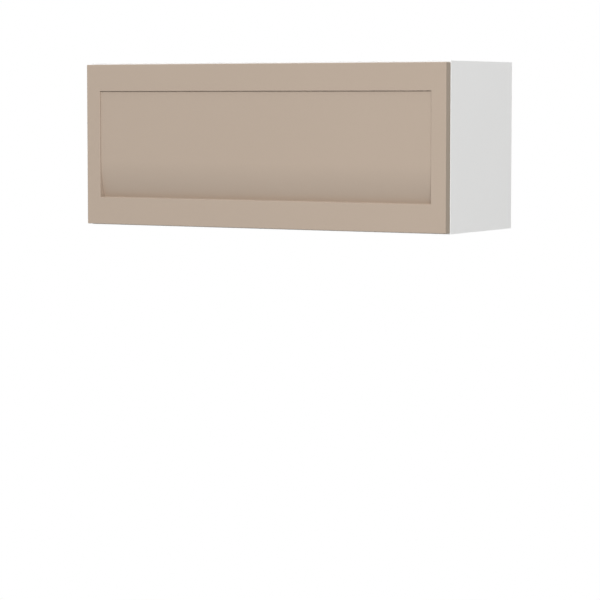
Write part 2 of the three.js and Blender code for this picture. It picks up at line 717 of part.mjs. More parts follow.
// Lever axle: a shaft with a head inside the lever, and the cam plate that the spring bears on.
// The cam's radius falls away from the spring as the lever lifts.
function leverAxlePiece(side) {
  const head = [leverInner - HEAD_THICKNESS, leverInner];
  const end = sideInner - HOUSING_WALL - FIT_GAP;
  const camFrom = housingMiddle - CAM_PLATE_THICKNESS / 2;
  const camOutline = new THREE.Shape();
  for (let i = 0; i < ROUND_SIDES; i += 1) {
    const turn = 2 * Math.PI * i / ROUND_SIDES;
    const lobe = (1 + Math.cos(turn)) / 2;
    const radius = CAM_PLATE_HEEL + (CAM_PLATE_RADIUS - CAM_PLATE_HEEL) * lobe;
    const point = [leverAxle[0] + radius * Math.cos(turn), leverAxle[1] + radius * Math.sin(turn)];
    if (i === 0) camOutline.moveTo(...point);
    else camOutline.lineTo(...point);
  }
  camOutline.closePath();
  return join(
    rodX(AXLE_RADIUS, side * leverInner, side * end, leverAxle),
    rodX(AXLE_HEAD_RADIUS, side * head[0], side * head[1], leverAxle),
    alongX(camOutline, side * camFrom, side * (camFrom + CAM_PLATE_THICKNESS)),
  );
}

class Helix extends THREE.Curve {
  constructor(start, end, x, z) {
    super();
    Object.assign(this, { start, end, x, z });
  }

  getPoint(t, target = new THREE.Vector3()) {
    const turn = 2 * Math.PI * SPRING_TURNS * t;
    return target.set(
      this.x + SPRING_RADIUS * Math.cos(turn),
      this.start + (this.end - this.start) * t,
      this.z + SPRING_RADIUS * Math.sin(turn),
    );
  }
}

// Spring: a coil lying behind the cam plate, between it and the housing's rear wall.
function liftSpring(side) {
  const start = leverAxle[0] + CAM_PLATE_RADIUS + SPRING_WIRE_RADIUS + FIT_GAP;
  const end = housingHigh[0] - HOUSING_WALL - SPRING_WIRE_RADIUS - FIT_GAP;
  const wire = Array.from({ length: COIL_SIDES }, (_, i) => {
    const turn = 2 * Math.PI * i / COIL_SIDES;
    return [SPRING_WIRE_RADIUS * Math.cos(turn), SPRING_WIRE_RADIUS * Math.sin(turn)];
  });
  return new THREE.ExtrudeGeometry(polygon(wire), {
    extrudePath: new Helix(start, end, side * housingMiddle, leverAxle[1]),
    steps: SPRING_TURNS * COIL_STEPS,
  });
}

function lever(side) {
  const x = [side * leverInner, side * leverOuter];
  const bored = [side * (leverInner - PAST), side * (leverOuter + PAST)];
  return cut(
    join(
      alongX(strap([leverAxle, elbow], LEVER_HALF_WIDTH), ...x),
      rodX(LEVER_EYE_RADIUS, ...x, leverAxle),
    ),
    rodX(AXLE_RADIUS + FIT_GAP, ...bored, leverAxle),
    rodX(PIN_RADIUS + FIT_GAP, ...bored, elbow),
  );
}

function liftLink(side) {
  const bored = [side * (liftLinkInner - PAST), side * (liftLinkOuter + PAST)];
  return cut(
    alongX(strap([elbow, bracketPin], LIFT_LINK_HALF_WIDTH), side * liftLinkInner, side * liftLinkOuter),
    rodX(PIN_RADIUS + FIT_GAP, ...bored, elbow),
    rodX(PIN_RADIUS + LIFT_LINK_PLAY, ...bored, bracketPin),
  );
}

// Pin with a head on the cabinet's middle side.
function headedPin(side, head, end, pivot) {
  return join(
    rodX(PIN_RADIUS, side * head, side * end, pivot),
    rodX(PIN_HEAD_RADIUS, side * (head - HEAD_THICKNESS), side * head, pivot),
  );
}

// Front bracket: an ear that carries the pin, on a foot screwed to the back of the centre panel.
function frontBracket(side) {
  const foot = block(
    [side * (earOuter - BRACKET_FOOT_WIDTH), side * earOuter],
    [frontBack, frontBack + BRACKET_FOOT_THICKNESS],
    [bracketPin[1] - BRACKET_FOOT_HEIGHT / 2, bracketPin[1] + BRACKET_FOOT_HEIGHT / 2],
  );
  const ear = strap([[frontBack + BRACKET_EAR_RADIUS, bracketPin[1]], bracketPin], BRACKET_EAR_RADIUS);
  const web = block(
    [side * earInner, side * earOuter],
    [frontBack, frontBack + BRACKET_EAR_RADIUS],
    [bracketPin[1] - BRACKET_EAR_RADIUS, bracketPin[1] + BRACKET_EAR_RADIUS],
  );
  return cut(
    join(foot, web, alongX(ear, side * earInner, side * earOuter)),
    rodX(PIN_RADIUS + FIT_GAP, side * (earInner - PAST), side * (earOuter + PAST), bracketPin),
  );
}

for (const [name, side] of sides) {
  add(`lift_housing_${name}`, liftHousing(side), greyPlastic);
  add(`lift_cover_${name}`, liftCover(side), greyPlastic);
  add(`lift_axle_${name}`, leverAxlePiece(side), steel);
  add(`lift_spring_${name}`, liftSpring(side), springSteel);
  add(`lift_lever_${name}`, lever(side), steel);
  add(`lift_link_${name}`, liftLink(side), steel);
  add(`lift_elbow_pin_${name}`, headedPin(side, liftLinkInner - FIT_GAP, leverOuter, elbow), zinc);
  add(`lift_front_pin_${name}`, headedPin(side, earInner, liftLinkOuter, bracketPin), zinc);
  add(`lift_bracket_${name}`, frontBracket(side), steel);
}

export default cabinet;
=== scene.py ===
import math

import bmesh
import bpy
from mathutils import Matrix, Vector


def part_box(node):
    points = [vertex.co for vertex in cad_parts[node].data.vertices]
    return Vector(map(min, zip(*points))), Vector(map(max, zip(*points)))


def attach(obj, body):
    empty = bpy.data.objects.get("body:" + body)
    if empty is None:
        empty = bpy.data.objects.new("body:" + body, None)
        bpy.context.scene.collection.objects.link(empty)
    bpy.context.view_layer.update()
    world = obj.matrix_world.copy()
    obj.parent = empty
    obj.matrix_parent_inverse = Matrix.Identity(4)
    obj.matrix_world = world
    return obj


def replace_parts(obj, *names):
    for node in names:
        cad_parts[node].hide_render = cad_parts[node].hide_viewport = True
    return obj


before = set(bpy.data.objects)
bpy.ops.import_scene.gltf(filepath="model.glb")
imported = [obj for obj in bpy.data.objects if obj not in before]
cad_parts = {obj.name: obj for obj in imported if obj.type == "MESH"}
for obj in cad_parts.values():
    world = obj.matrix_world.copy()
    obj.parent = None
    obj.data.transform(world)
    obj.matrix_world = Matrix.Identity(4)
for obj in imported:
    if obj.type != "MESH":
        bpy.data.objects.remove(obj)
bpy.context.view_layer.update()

# --------
# Camera: stands in front and to the right, a little below the cabinet's top, and looks down
# slightly, so that the front and the narrow right side are seen as in the photograph.

EYE = (2.8107, -4.8592, 0.2802)
FOCAL_LENGTH = 152.2435
LOOKS_DOWN = math.radians(4.5236)
TURNED_LEFT = math.radians(29.9557)


def put(name, data):
    """A new object in the scene."""
    thing = bpy.data.objects.new(name, data)
    bpy.context.collection.objects.link(thing)
    return thing


lens = bpy.data.cameras.new("camera")
lens.sensor_width = 36
lens.lens = FOCAL_LENGTH
camera = put("camera", lens)
camera.location = EYE
camera.rotation_euler = (math.pi / 2 - LOOKS_DOWN, 0, TURNED_LEFT)
bpy.context.scene.camera = camera
bpy.context.scene.view_settings.view_transform = "Standard"

# --------
# Studio: a soft white dome, a broad key lamp high in front on the right, a lamp overhead, two low
# fill lamps, and a pale floor far below. All the shaders use the two classes here.


def math_node(operation):
    """An operator on wires and numbers that adds a Math node."""
    return lambda one, other: one.math(operation, one, other)


def reflected(operation):
    """The same operator with the wire on its right."""
    return lambda one, other: one.math(operation, other, one)


class Wire:
    """One output of a shader node. Sums, products and comparisons of wires add Math nodes."""

    def __init__(self, socket):
        self.socket = socket

    def math(self, operation, *values):
        tree = Nodes(self.socket.id_data)
        return tree.add("Math", {"operation": operation}, dict(enumerate(values)))

    __add__ = __radd__ = math_node("ADD")
    __mul__ = __rmul__ = math_node("MULTIPLY")
    __sub__, __rsub__ = math_node("SUBTRACT"), reflected("SUBTRACT")
    __truediv__, __rtruediv__ = math_node("DIVIDE"), reflected("DIVIDE")
    __gt__ = math_node("GREATER_THAN")
    __lt__ = math_node("LESS_THAN")
    either = math_node("MAXIMUM")

    def size(self):
        return self.math("ABSOLUTE", self)

    def mix(self, without, with_it):
        """A colour that runs from one to the other as this wire goes from 0 to 1."""
        tree = Nodes(self.socket.id_data)
        ends = {"Factor_Float": self, "A_Color": without, "B_Color": with_it}
        return tree.add("Mix", {"data_type": "RGBA", "clamp_factor": True}, ends, "Result_Color")


class Nodes:
    """A shader tree. add() makes one node: its settings first, then its sockets."""

    def __init__(self, tree):
        self.tree = tree

    def add(self, kind, settings=None, inputs=None, output=0):
        node = self.tree.nodes.new("ShaderNode" + kind)
        for name, value in (settings or {}).items():
            setattr(node, name, value)
        for name, value in (inputs or {}).items():
            socket = self.find(node.inputs, name)
            if isinstance(value, Wire):
                self.tree.links.new(value.socket, socket)
            else:
                socket.default_value = value
        return Wire(self.find(node.outputs, output)) if node.outputs else None

    @staticmethod
    def find(sockets, name):
        if isinstance(name, int):
            return sockets[name]
        return next(s for s in sockets if name in (s.identifier, s.name))

    def noise(self, place, scale, detail=2.0, rough=0.5, stretch=(1, 1, 1)):
        """Soft noise from 0 to 1, with its scale in waves per metre."""
        place = self.add("VectorMath", {"operation": "MULTIPLY"}, {0: place, 1: stretch})
        inputs = {"Vector": place, "Scale": scale, "Detail": detail, "Roughness": rough}
        return self.add("TexNoise", {}, inputs)

    def along(self, axis, place):
        return self.add("SeparateXYZ", {}, {"Vector": place}, axis.upper())

    def near(self, value, middle, reach):
        """1 where the value is at the middle, fading to 0 at that reach from it."""
        return self.add("Math", {"operation": "SUBTRACT", "use_clamp": True},
                        {0: 1.0, 1: (value - middle).size() / reach})

    def background_ray(self):
        """1 where the background itself is seen, also in metal or through glass."""
        direct, mirrored, through = (self.add("LightPath", output=f"Is {kind} Ray")
                                     for kind in ("Camera", "Glossy", "Transmission"))
        return direct.either(mirrored).either(through)


def grey(level):
    return (level, level, level, 1.0)


def empty_tree(owner):
    owner.use_nodes = True
    owner.node_tree.nodes.clear()
    return Nodes(owner.node_tree)


WHITE = grey(1.0)
DOME_LIGHT = grey(0.23)

world = bpy.data.worlds.new("studio dome")
dome = empty_tree(world)
sky = dome.add("Background", {}, {"Color": dome.background_ray().mix(DOME_LIGHT, WHITE)})
dome.add("OutputWorld", {}, {"Surface": sky})
bpy.context.scene.world = world


def lamp(name, share, azimuth, elevation, spread, distance=None):
    """A broad lamp. Azimuth 0 is straight in front and 90 on the viewer's right, and share is its
    light on a surface that faces it, next to that of an all-white dome."""
    light = bpy.data.lights.new(name, "AREA" if distance else "SUN")
    placed = put(name, light)
    placed.rotation_euler = (math.radians(90 - elevation), 0, math.radians(azimuth))
    if distance:
        light.shape, light.size = "DISK", 2 * distance * math.tan(math.radians(spread / 2))
        light.energy = share * (math.pi * distance) ** 2
        placed.location = placed.rotation_euler.to_matrix() @ Vector((0, 0, distance))
    else:
        light.angle = math.radians(spread)
        light.energy = share * math.pi
    placed.visible_glossy = False


lamp("key lamp", 0.94, azimuth=30, elevation=33, spread=24, distance=16)
lamp("overhead lamp", 0.2, azimuth=10, elevation=77, spread=24)
lamp("left fill lamp", 0.34, azimuth=-100, elevation=5, spread=60)
lamp("rear fill lamp", 0.4, azimuth=180, elevation=5, spread=60)

FLOOR_LEVEL = -1.4
FLOOR_HALF = 30
FLOOR_PAINT, FLOOR_CLOUDS = 0.93, 0.02
FLOOR_BOUNCE = grey(0.42)  # what the floor gives back to the object
GLOW_FROM, GLOW_FULL = 1.6, 2.9  # metres from under the cabinet
LEAST_GLOW = 0.45

floor_paint = bpy.data.materials.new("pale floor")
ground = empty_tree(floor_paint)
seen = ground.background_ray()
place = ground.add("TexCoord", output="Object")
away = ground.add("VectorMath", {"operation": "LENGTH"}, {0: place}, "Value")
far = ground.add("MapRange", {"interpolation_type": "SMOOTHSTEP"},
                 {"Value": away, "From Min": GLOW_FROM, "From Max": GLOW_FULL,
                  "To Min": LEAST_GLOW})
cloudy = ground.noise(place, 0.8) * FLOOR_CLOUDS + FLOOR_PAINT
shade = ground.add("CombineColor", {}, {0: cloudy, 1: cloudy, 2: cloudy})
paint = ground.add("BsdfDiffuse", {}, {"Color": seen.mix(FLOOR_BOUNCE, shade)})
glow = ground.add("Emission", {}, {"Color": WHITE, "Strength": 1.0})
mixed = ground.add("MixShader", {}, {0: seen * far, 1: paint, 2: glow})
ground.add("OutputMaterial", {}, {"Surface": mixed})


def mesh_of(shape, name="work"):
    """The shape as a mesh. The shape itself is given up."""
    mesh = bpy.data.meshes.new(name)
    shape.to_mesh(mesh)
    shape.free()
    return mesh


ground_shape = bmesh.new()
bmesh.ops.create_grid(ground_shape, x_segments=8, y_segments=8, size=FLOOR_HALF)
floor = put("floor", mesh_of(ground_shape, "floor"))
floor.data.materials.append(floor_paint)
floor.location.z = FLOOR_LEVEL

# --------
# Side panels: white melamine-faced chipboard, 18 mm, with a groove for the back panel and two
# rows of shelf-pin holes on the inner face. Their rear edges are raw. Shapes are drawn in
# millimetres, with y measured from the carcass's front plane.

TO_ROW = Matrix.Translation((0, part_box("edge_band_left")[0].y, 0)) @ Matrix.Scale(0.001, 4)
ORDER = {"x": (2, 0, 1), "y": (0, 2, 1), "z": (0, 1, 2)}  # of two coordinates and the axis's own
SIDES = {"left": -1, "right": 1}
PAST = 1  # how far a cutter reaches past what it cuts
SHARP = math.radians(35)  # edges from here on are rounded
CREASE = math.radians(40)  # and edges from here on are shaded as edges


def box_of(node):
    """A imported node's box as its (x, y, z) ranges."""
    low, high = (TO_ROW.inverted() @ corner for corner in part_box(node))
    return tuple(zip(low, high))


def grown(span, by):
    return (span[0] - by, span[1] + by)


def rectangle(x, y):
    return [(x[0], y[0]), (x[1], y[0]), (x[1], y[1]), (x[0], y[1])]


def prism(axis, outline, low, high):
    """A solid with that outline in the two other axes, from low to high along this one."""
    shape = bmesh.new()
    ends = [[shape.verts.new([(*point, end)[i] for i in ORDER[axis]]) for point in outline]
            for end in (low, high)]
    for ring in ends:
        shape.faces.new(ring)
    for i in range(len(outline)):
        shape.faces.new((ends[0][i - 1], ends[0][i], ends[1][i], ends[1][i - 1]))
    bmesh.ops.recalc_face_normals(shape, faces=shape.faces)
    return shape


def block(x, y, z):
    return prism("z", rectangle(x, y), *z)


def turned(axis, profile, centre, sides=40):
    """A solid turned round an axis, from its (radius, place along the axis) points."""
    shape = bmesh.new()
    rings = []
    for radius, along in profile:
        turns = [2 * math.pi * i / sides for i in range(sides if radius else 1)]
        ring = [(centre[0] + radius * math.cos(t), centre[1] + radius * math.sin(t), along)
                for t in turns]
        rings.append([shape.verts.new([point[i] for i in ORDER[axis]]) for point in ring])
    for one, other in zip(rings, rings[1:]):
        for i in range(sides):
            corners = [one[i - 1], one[i]] if len(one) > 1 else one[:]
            corners += [other[i], other[i - 1]] if len(other) > 1 else other
            if len(corners) > 2:
                shape.faces.new(corners)
    bmesh.ops.recalc_face_normals(shape, faces=shape.faces)
    return shape


def soften(shape, radius, steps=2, where=None):
    """Rounds the sharp edges, or those of them whose two corners are where this says."""
    edges = [edge for edge in shape.edges
             if len(edge.link_faces) == 2 and edge.calc_face_angle() > SHARP
             and (where is None or all(where(*corner.co) for corner in edge.verts))]
    bmesh.ops.bevel(shape, geom=edges, offset=radius, segments=steps, profile=0.5,
                    affect="EDGES", clamp_overlap=True)
    return shape


def gather(*shapes):
    """Several shapes that don't touch, as one."""
    whole = bmesh.new()
    for shape in shapes:
        mesh = mesh_of(shape)
        whole.from_mesh(mesh)
        bpy.data.meshes.remove(mesh)
    return whole


def settled(thing):
    """The shape of an object once its curve or its modifiers are worked out."""
    bpy.context.view_layer.update()
    seen_by = bpy.context.evaluated_depsgraph_get()
    mesh = bpy.data.meshes.new_from_object(thing.evaluated_get(seen_by))
    shape = bmesh.new()
    shape.from_mesh(mesh)
    bpy.data.meshes.remove(mesh)
    return shape


def worked(operation, shape, *tools):
    """The shape after the same Boolean step with each tool in turn."""
    work, *others = [put("work", mesh_of(source)) for source in (shape, *tools)]
    for tool in others:
        step = work.modifiers.new("step", "BOOLEAN")
        step.operation, step.solver, step.object = operation, "EXACT", tool
    made = settled(work)
    for thing in (work, *others):
        bpy.data.meshes.remove(thing.data)
    return made


def cut(*shapes):
    return worked("DIFFERENCE", *shapes)


def piece(name, shape, finish, body, side=1):
    """Makes a piece of the finished shape. Side -1 mirrors it to the viewer's left."""
    material, slot = finish
    if side < 0:
        bmesh.ops.scale(shape, vec=(-1, 1, 1), verts=shape.verts)
    bmesh.ops.recalc_face_normals(shape, faces=shape.faces)
    for edge in shape.edges:
        edge.smooth = len(edge.link_faces) == 2 and edge.calc_face_angle() < CREASE
    for face in shape.faces:
        face.smooth = True
    made = put(name, mesh_of(shape, name))
    made.data.transform(TO_ROW)
    made.data.materials.append(material)
    made.modifiers.new("even shading", "WEIGHTED_NORMAL").keep_sharp = True
    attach(made, body)
    return made


def dress(node, form, shape, finish, body, side=1):
    """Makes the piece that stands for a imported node, named for the node and its own form."""
    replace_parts(piece(f"{node}_{form}", shape, finish, body, side), node)


def linear(red, green, blue):
    """A colour as it is seen on a screen, given as 0 to 255, for a shader's socket."""
    parts = [c / 255 for c in (red, green, blue)]
    return (*[c / 12.92 if c <= 0.04045 else ((c + 0.055) / 1.055) ** 2.4 for c in parts], 1.0)


def shader(name, slot, make):
    """A finish: a material, whose Principled inputs come from make(nodes, place) with the place
    in metres, and the record's slot that it belongs to."""
    material = bpy.data.materials.new(name)
    nodes = empty_tree(material)
    place = nodes.add("TexCoord", output="Object")
    surface = nodes.add("BsdfPrincipled", {}, make(nodes, place))
    nodes.add("OutputMaterial", {}, {"Surface": surface})
    return material, slot


def bump(nodes, height, distance):
    return nodes.add("Bump", {}, {"Height": height, "Distance": distance, "Strength": 1.0})


def in_metres(axis, span):
    """A span along an axis, in the row's metres."""
    return [getattr(TO_ROW @ Vector([edge] * 3), axis) for edge in span]


SKIN = 0.0003  # melamine layer on a board's faces, in metres
CHIPS_PER_METRE = 400.0
CHIP_RAGGEDNESS = 0.0014


def board_finish(name, coated, pressed):
    """White melamine with a fine pearl, and raw chipboard between the coated faces, whose spans
    are given by axis. Pressed says how closely the chips are packed along each axis."""
    def make(nodes, place):
        core = 1
        for axis, span in coated.items():
            across = nodes.along(axis, place).size()
            low, high = in_metres(axis, span)
            core = core * (across > low + SKIN) * (across < high - SKIN)
        cloud = nodes.noise(place, 6, detail=3)
        pearl = nodes.noise(place, 1400)
        white = cloud.mix(linear(241, 241, 240), linear(244, 244, 243))
        ragged = nodes.add("TexNoise", {}, {"Vector": place, "Scale": 700.0}, "Color")
        lie = nodes.add("VectorMath", {"operation": "MULTIPLY_ADD"},
                        {0: ragged, 1: [CHIP_RAGGEDNESS] * 3, 2: place})
        lie = nodes.add("VectorMath", {"operation": "MULTIPLY"}, {0: lie, 1: pressed})
        chips = nodes.add("TexVoronoi", {"feature": "F1"},
                          {"Vector": lie, "Scale": CHIPS_PER_METRE}, "Color")
        tone = nodes.add("SeparateColor", {}, {"Color": chips}, "Red")
        fibre = nodes.noise(place, 900, detail=4, rough=0.65, stretch=pressed)
        raw = tone.mix(linear(174, 143, 104), linear(228, 204, 166))
        raw = (0.45 + 0.55 * fibre).mix(linear(126, 97, 66), raw)
        rough = (1 - core) * (0.4 + 0.08 * pearl + 0.05 * cloud) + core * 0.92
        height = (1 - core) * pearl + core * (fibre * 6 + tone * 5)
        return {"Base Color": core.mix(white, raw), "Roughness": rough,
                "Normal": bump(nodes, height, 0.00001)}
    return shader(name, "white_board", make)


PANEL_X, PANEL_Y, PANEL_Z = box_of("side_panel_right")
BACK_X, BACK_Y, BACK_Z = box_of("back_panel")
GROOVE_PLAY = 0.2
GROOVE_END = 0.5
GROOVE_Y = grown(BACK_Y, GROOVE_PLAY)
BOARD_ROUND = 0.3
PIN_RADIUS, PIN_DEPTH, DRILL_POINT = 2.5, 11, 1
PIN_ROWS = ((37, 6), (230, 8))  # distance from the front and number of holes
LOWEST_PIN, PIN_PITCH = 52, 32
SURE = 0.01  # what a corner may differ from the plane that it lies on


def behind_band(x, y, z):
    """True for every corner but those on the plane where the edge band is glued."""
    return y > PANEL_Y[0] + SURE


def side_panel():
    inner = PANEL_X[0]
    board = soften(block(PANEL_X, PANEL_Y, PANEL_Z), BOARD_ROUND, 2, behind_band)
    groove = block((inner - PAST, BACK_X[1] + GROOVE_END), GROOVE_Y, grown(BACK_Z, GROOVE_END))
    hole = [(0, inner - PAST), (PIN_RADIUS, inner - PAST), (PIN_RADIUS, inner + PIN_DEPTH),
            (0, inner + PIN_DEPTH + DRILL_POINT)]
    holes = [turned("x", hole, (y, LOWEST_PIN + PIN_PITCH * i), 20)
             for y, count in PIN_ROWS for i in range(count)]
    return cut(board, gather(groove, *holes))


side_melamine = board_finish("side panel melamine", {"x": PANEL_X, "z": PANEL_Z}, (3, 1, 1))
for name, side in SIDES.items():
    dress(f"side_panel_{name}", "board", side_panel(), side_melamine, "carcass", side)

# --------
# Top and bottom panels: the same board between the side panels, grooved for the back panel and
# bored from above for the cam locks. The front edges are banded and the rear edges are raw.

CAM_SETBACKS = (100, 235)
CAM_X = 398
POCKET_RADIUS, POCKET_DEPTH = 7.6, 12.5
GROOVE_DEPTH = 8


def drill(axis, radius, span, centre, sides=40):
    """A round cutter, from one end of the span to the other."""
    low, high = span
    return turned(axis, [(0, low), (radius, low), (radius, high), (0, high)], centre, sides)


def level_panel(node, inner, outer):
    """A panel from its inner face, on the cabinet's inside, to its outer one."""
    x, (front, rear), _ = box_of(node)
    groove_top = inner + math.copysign(GROOVE_DEPTH, outer - inner)
    outline = [(front, outer), (rear, outer), (rear, inner), (GROOVE_Y[1], inner),
               (GROOVE_Y[1], groove_top), (GROOVE_Y[0], groove_top), (GROOVE_Y[0], inner),
               (front, inner)]
    board = soften(prism("x", outline, *x), BOARD_ROUND, 2, behind_band)
    upper = max(inner, outer)
    pockets = [drill("z", POCKET_RADIUS, (upper - POCKET_DEPTH, upper + PAST), (x, y))
               for x in (-CAM_X, CAM_X) for y in CAM_SETBACKS]
    return cut(board, gather(*pockets))


for level in ("top", "bottom"):
    low, high = box_of(f"{level}_panel")[2]
    melamine = board_finish(f"{level} panel melamine", {"z": (low, high)}, (1, 1, 3))
    inner, outer = (low, high) if level == "top" else (high, low)
    board = level_panel(f"{level}_panel", inner, outer)
    dress(f"{level}_panel", "board", board, melamine, "carcass")

# --------
# Edge bands: strips of white plastic, 1 mm thick, glued to the front edges of the four boards
# and rounded over by the trimmer. They are a touch smoother and cooler than the board.

BAND_ROUND = 0.35


def band_look(nodes, place):
    cloud = nodes.noise(place, 9, detail=3)
    drawn = nodes.noise(place, 900, stretch=(1, 1, 0.2))
    return {"Base Color": cloud.mix(linear(240, 241, 241), linear(243, 244, 244)),
            "Roughness": 0.3 + 0.1 * drawn, "Normal": bump(nodes, drawn, 0.000008)}


band_plastic = shader("edge band plastic", "edge_band", band_look)
for name in ("left", "right", "top", "bottom"):
    strip = soften(block(*box_of(f"edge_band_{name}")), BAND_ROUND, 3, lambda x, y, z: y < SURE)
    dress(f"edge_band_{name}", "strip", strip, band_plastic, "carcass")

# --------
# Back panel: a white board, 8 mm thick, slid into the grooves before the carcass is closed. Its
# upper corners are cut out round the wall hangers, and its sawn edges are raw.

HANGER_X, HANGER_Y, HANGER_Z = box_of("hanger_body_right")
NOTCH_PLAY = 0.3
SAWN_ROUND = 0.2


def back_panel():
    x, z = HANGER_X[0] - NOTCH_PLAY, HANGER_Z[0] - NOTCH_PLAY
    outline = [(BACK_X[0], BACK_Z[0]), (BACK_X[1], BACK_Z[0]), (BACK_X[1], z), (x, z),
               (x, BACK_Z[1]), (-x, BACK_Z[1]), (-x, z), (BACK_X[0], z)]
    return soften(prism("y", outline, *BACK_Y), SAWN_ROUND, 1)


back_melamine = board_finish("back panel melamine", {"y": BACK_Y}, (1, 3, 1))
dress("back_panel", "board", back_panel(), back_melamine, "carcass")

# --------
# Cam locks: die-cast zinc drums let into the top and bottom panels, turned with a screwdriver to
# draw the boards to the side panels. Each has a rim, a long slot and a short cross slot.

CAM_RADIUS = 7.3
CAM_RIM = 0.7
CAM_FACE_SINK = 0.35
CAM_SLOTS = ((4.5, 0.8, 2), (0.8, 3, 2.6))  # half sizes in x and y, and depth


def zinc_look(nodes, place):
    blot = nodes.noise(place, 260, detail=4, rough=0.6)
    grain = nodes.noise(place, 2600)
    return {"Base Color": blot.mix(linear(150, 152, 156), linear(188, 190, 193)), "Metallic": 1.0,
            "Roughness": 0.34 + 0.16 * blot, "Normal": bump(nodes, grain + blot, 0.00001)}


zinc = shader("die-cast zinc", "zinc", zinc_look)


def middle(span):
    return sum(span) / 2


def about(centre, half):
    return grown((centre, centre), half)


def cam_lock(x, y, low, high):
    rim = CAM_RADIUS - 0.5
    face = high - CAM_FACE_SINK
    drum = [(0, low), (CAM_RADIUS - 0.3, low), (CAM_RADIUS, low + 0.3), (CAM_RADIUS, high - 0.5),
            (rim, high), (rim - CAM_RIM, high), (rim - CAM_RIM - 0.2, face), (0, face)]
    slots = [block(about(x, a), about(y, b), (high - depth, high + PAST))
             for a, b, depth in CAM_SLOTS]
    return cut(turned("z", drum, (x, y)), *slots)


for level in ("top", "bottom"):
    for name in SIDES:
        for place in ("front", "rear"):
            node = f"cam_lock_{level}_{name}_{place}"
            x, y, z = box_of(node)
            dress(node, "drum", cam_lock(middle(x), middle(y), *z), zinc, "carcass")

# --------
# Wall hangers: grey moulded bodies fixed in the upper rear corners. The two screws in the front
# of each body raise and draw in the steel hook that catches the wall rail.

HOOK_X, HOOK_Y, HOOK_Z = box_of("hanger_hook_right")
HOOK_TRAVEL = 4
HOOK_BEND, SHEET_ROUND = 1.2, 0.35
BAR_HEIGHT = 12
TIP_THICKNESS = 5
SLOT_PLAY = 0.3
HANGER_ROUND = 1.2
SCREW_HEIGHTS = {"height": 331, "depth": 299.5}
WELL_RADIUS, WELL_DEPTH = 4.6, 6
HOLLOW_INSET, HOLLOW_DEPTH, HOLLOW_ROUND = 6, 0.7, 1.5
RIB_HALF = 0.7
HANGER_SCREW = dict(head=3.9, height=2.6, shank=2, length=5)


def plastic_look(nodes, place):
    cloud = nodes.noise(place, 40, detail=3)
    spark = nodes.noise(place, 2200, detail=3)
    return {"Base Color": cloud.mix(linear(176, 179, 182), linear(182, 185, 188)),
            "Roughness": 0.46 + 0.12 * spark, "Normal": bump(nodes, spark, 0.00002)}


def steel_look(nodes, place):
    worn = nodes.noise(place, 70, detail=4)
    drawn = nodes.noise(place, 1500, detail=3, stretch=(1, 0.12, 1))
    return {"Base Color": worn.mix(linear(196, 194, 189), linear(214, 212, 207)), "Metallic": 1.0,
            "Roughness": 0.27 + 0.08 * worn + 0.04 * drawn, "Normal": bump(nodes, drawn, 0.000003)}


grey_plastic = shader("grey moulded plastic", "grey_plastic", plastic_look)
steel = shader("nickel-plated steel", "nickel_steel", steel_look)


def hanger_body():
    """The body, with a slot for the hook, two screw wells, and a ribbed hollow in its side."""
    inner = HANGER_X[0]
    body = soften(block(HANGER_X, HANGER_Y, HANGER_Z), HANGER_ROUND, 3,
                  lambda x, y, z: x < HANGER_X[1] - PAST)
    slot = block(grown(HOOK_X, SLOT_PLAY), (HOOK_Y[0] - SLOT_PLAY, HANGER_Y[1] + PAST),
                 grown((HOOK_Z[1] - BAR_HEIGHT - HOOK_TRAVEL, HOOK_Z[1] + HOOK_TRAVEL), SLOT_PLAY))
    wells = [drill("y", WELL_RADIUS, (HANGER_Y[0] - PAST, HANGER_Y[0] + WELL_DEPTH),
                   (middle(HANGER_X), z), 28) for z in SCREW_HEIGHTS.values()]
    y, z = grown(HANGER_Y, -HOLLOW_INSET), grown(HANGER_Z, -HOLLOW_INSET)
    hollow = soften(block((inner - 2, inner + HOLLOW_DEPTH), y, z), HOLLOW_ROUND, 3)
    rib = block((inner - 3, inner + PAST), about(middle(y), RIB_HALF), z)
    return cut(body, gather(slot, *wells), cut(hollow, rib))


def cross_screw(axis, centre, seat, up, head, height, shank, length):
    """A round-headed screw with a cross recess. Up is the way its head points, 1 or -1."""
    dome = [(0, seat - up * length), (shank * 0.4, seat - up * (length - shank)),
            (shank, seat - up * (length - 2.5 * shank)), (shank, seat), (head, seat),
            (head, seat + up * height * 0.3), (head * 0.86, seat + up * height * 0.72),
            (head * 0.55, seat + up * height * 0.95), (0, seat + up * height)]
    long, wide = head * 0.62, head * 0.13
    recess = (seat + up * height * 0.15, seat + up * (height + PAST))
    arms = [prism(axis, rectangle(about(centre[0], a), about(centre[1], b)), *recess)
            for a, b in ((long, wide), (wide, long))]
    return cut(turned(axis, dome, centre, 28), *arms)


def round_corners(shape, axis, radius, steps=5, where=None):
    """Rounds the corners whose edges run along one axis, before the rest is softened."""
    edges = [edge for edge in shape.edges
             if abs((edge.verts[0].co - edge.verts[1].co).normalized()["xyz".index(axis)]) > 0.99
             and (where is None or where(*edge.verts[0].co))]
    bmesh.ops.bevel(shape, geom=edges, offset=radius, segments=steps, profile=0.5, affect="EDGES")
    return shape


def hanger_hook():
    tip = HOOK_Y[1] - TIP_THICKNESS
    bar = HOOK_Z[1] - BAR_HEIGHT
    outline = [(HOOK_Y[0], bar), (tip, bar), (tip, HOOK_Z[0]), (HOOK_Y[1], HOOK_Z[0]),
               (HOOK_Y[1], HOOK_Z[1]), (HOOK_Y[0], HOOK_Z[1])]
    plate = round_corners(prism("x", outline, *HOOK_X), "x", HOOK_BEND, 4,
                          lambda x, y, z: y > tip - 1)
    return soften(plate, SHEET_ROUND)


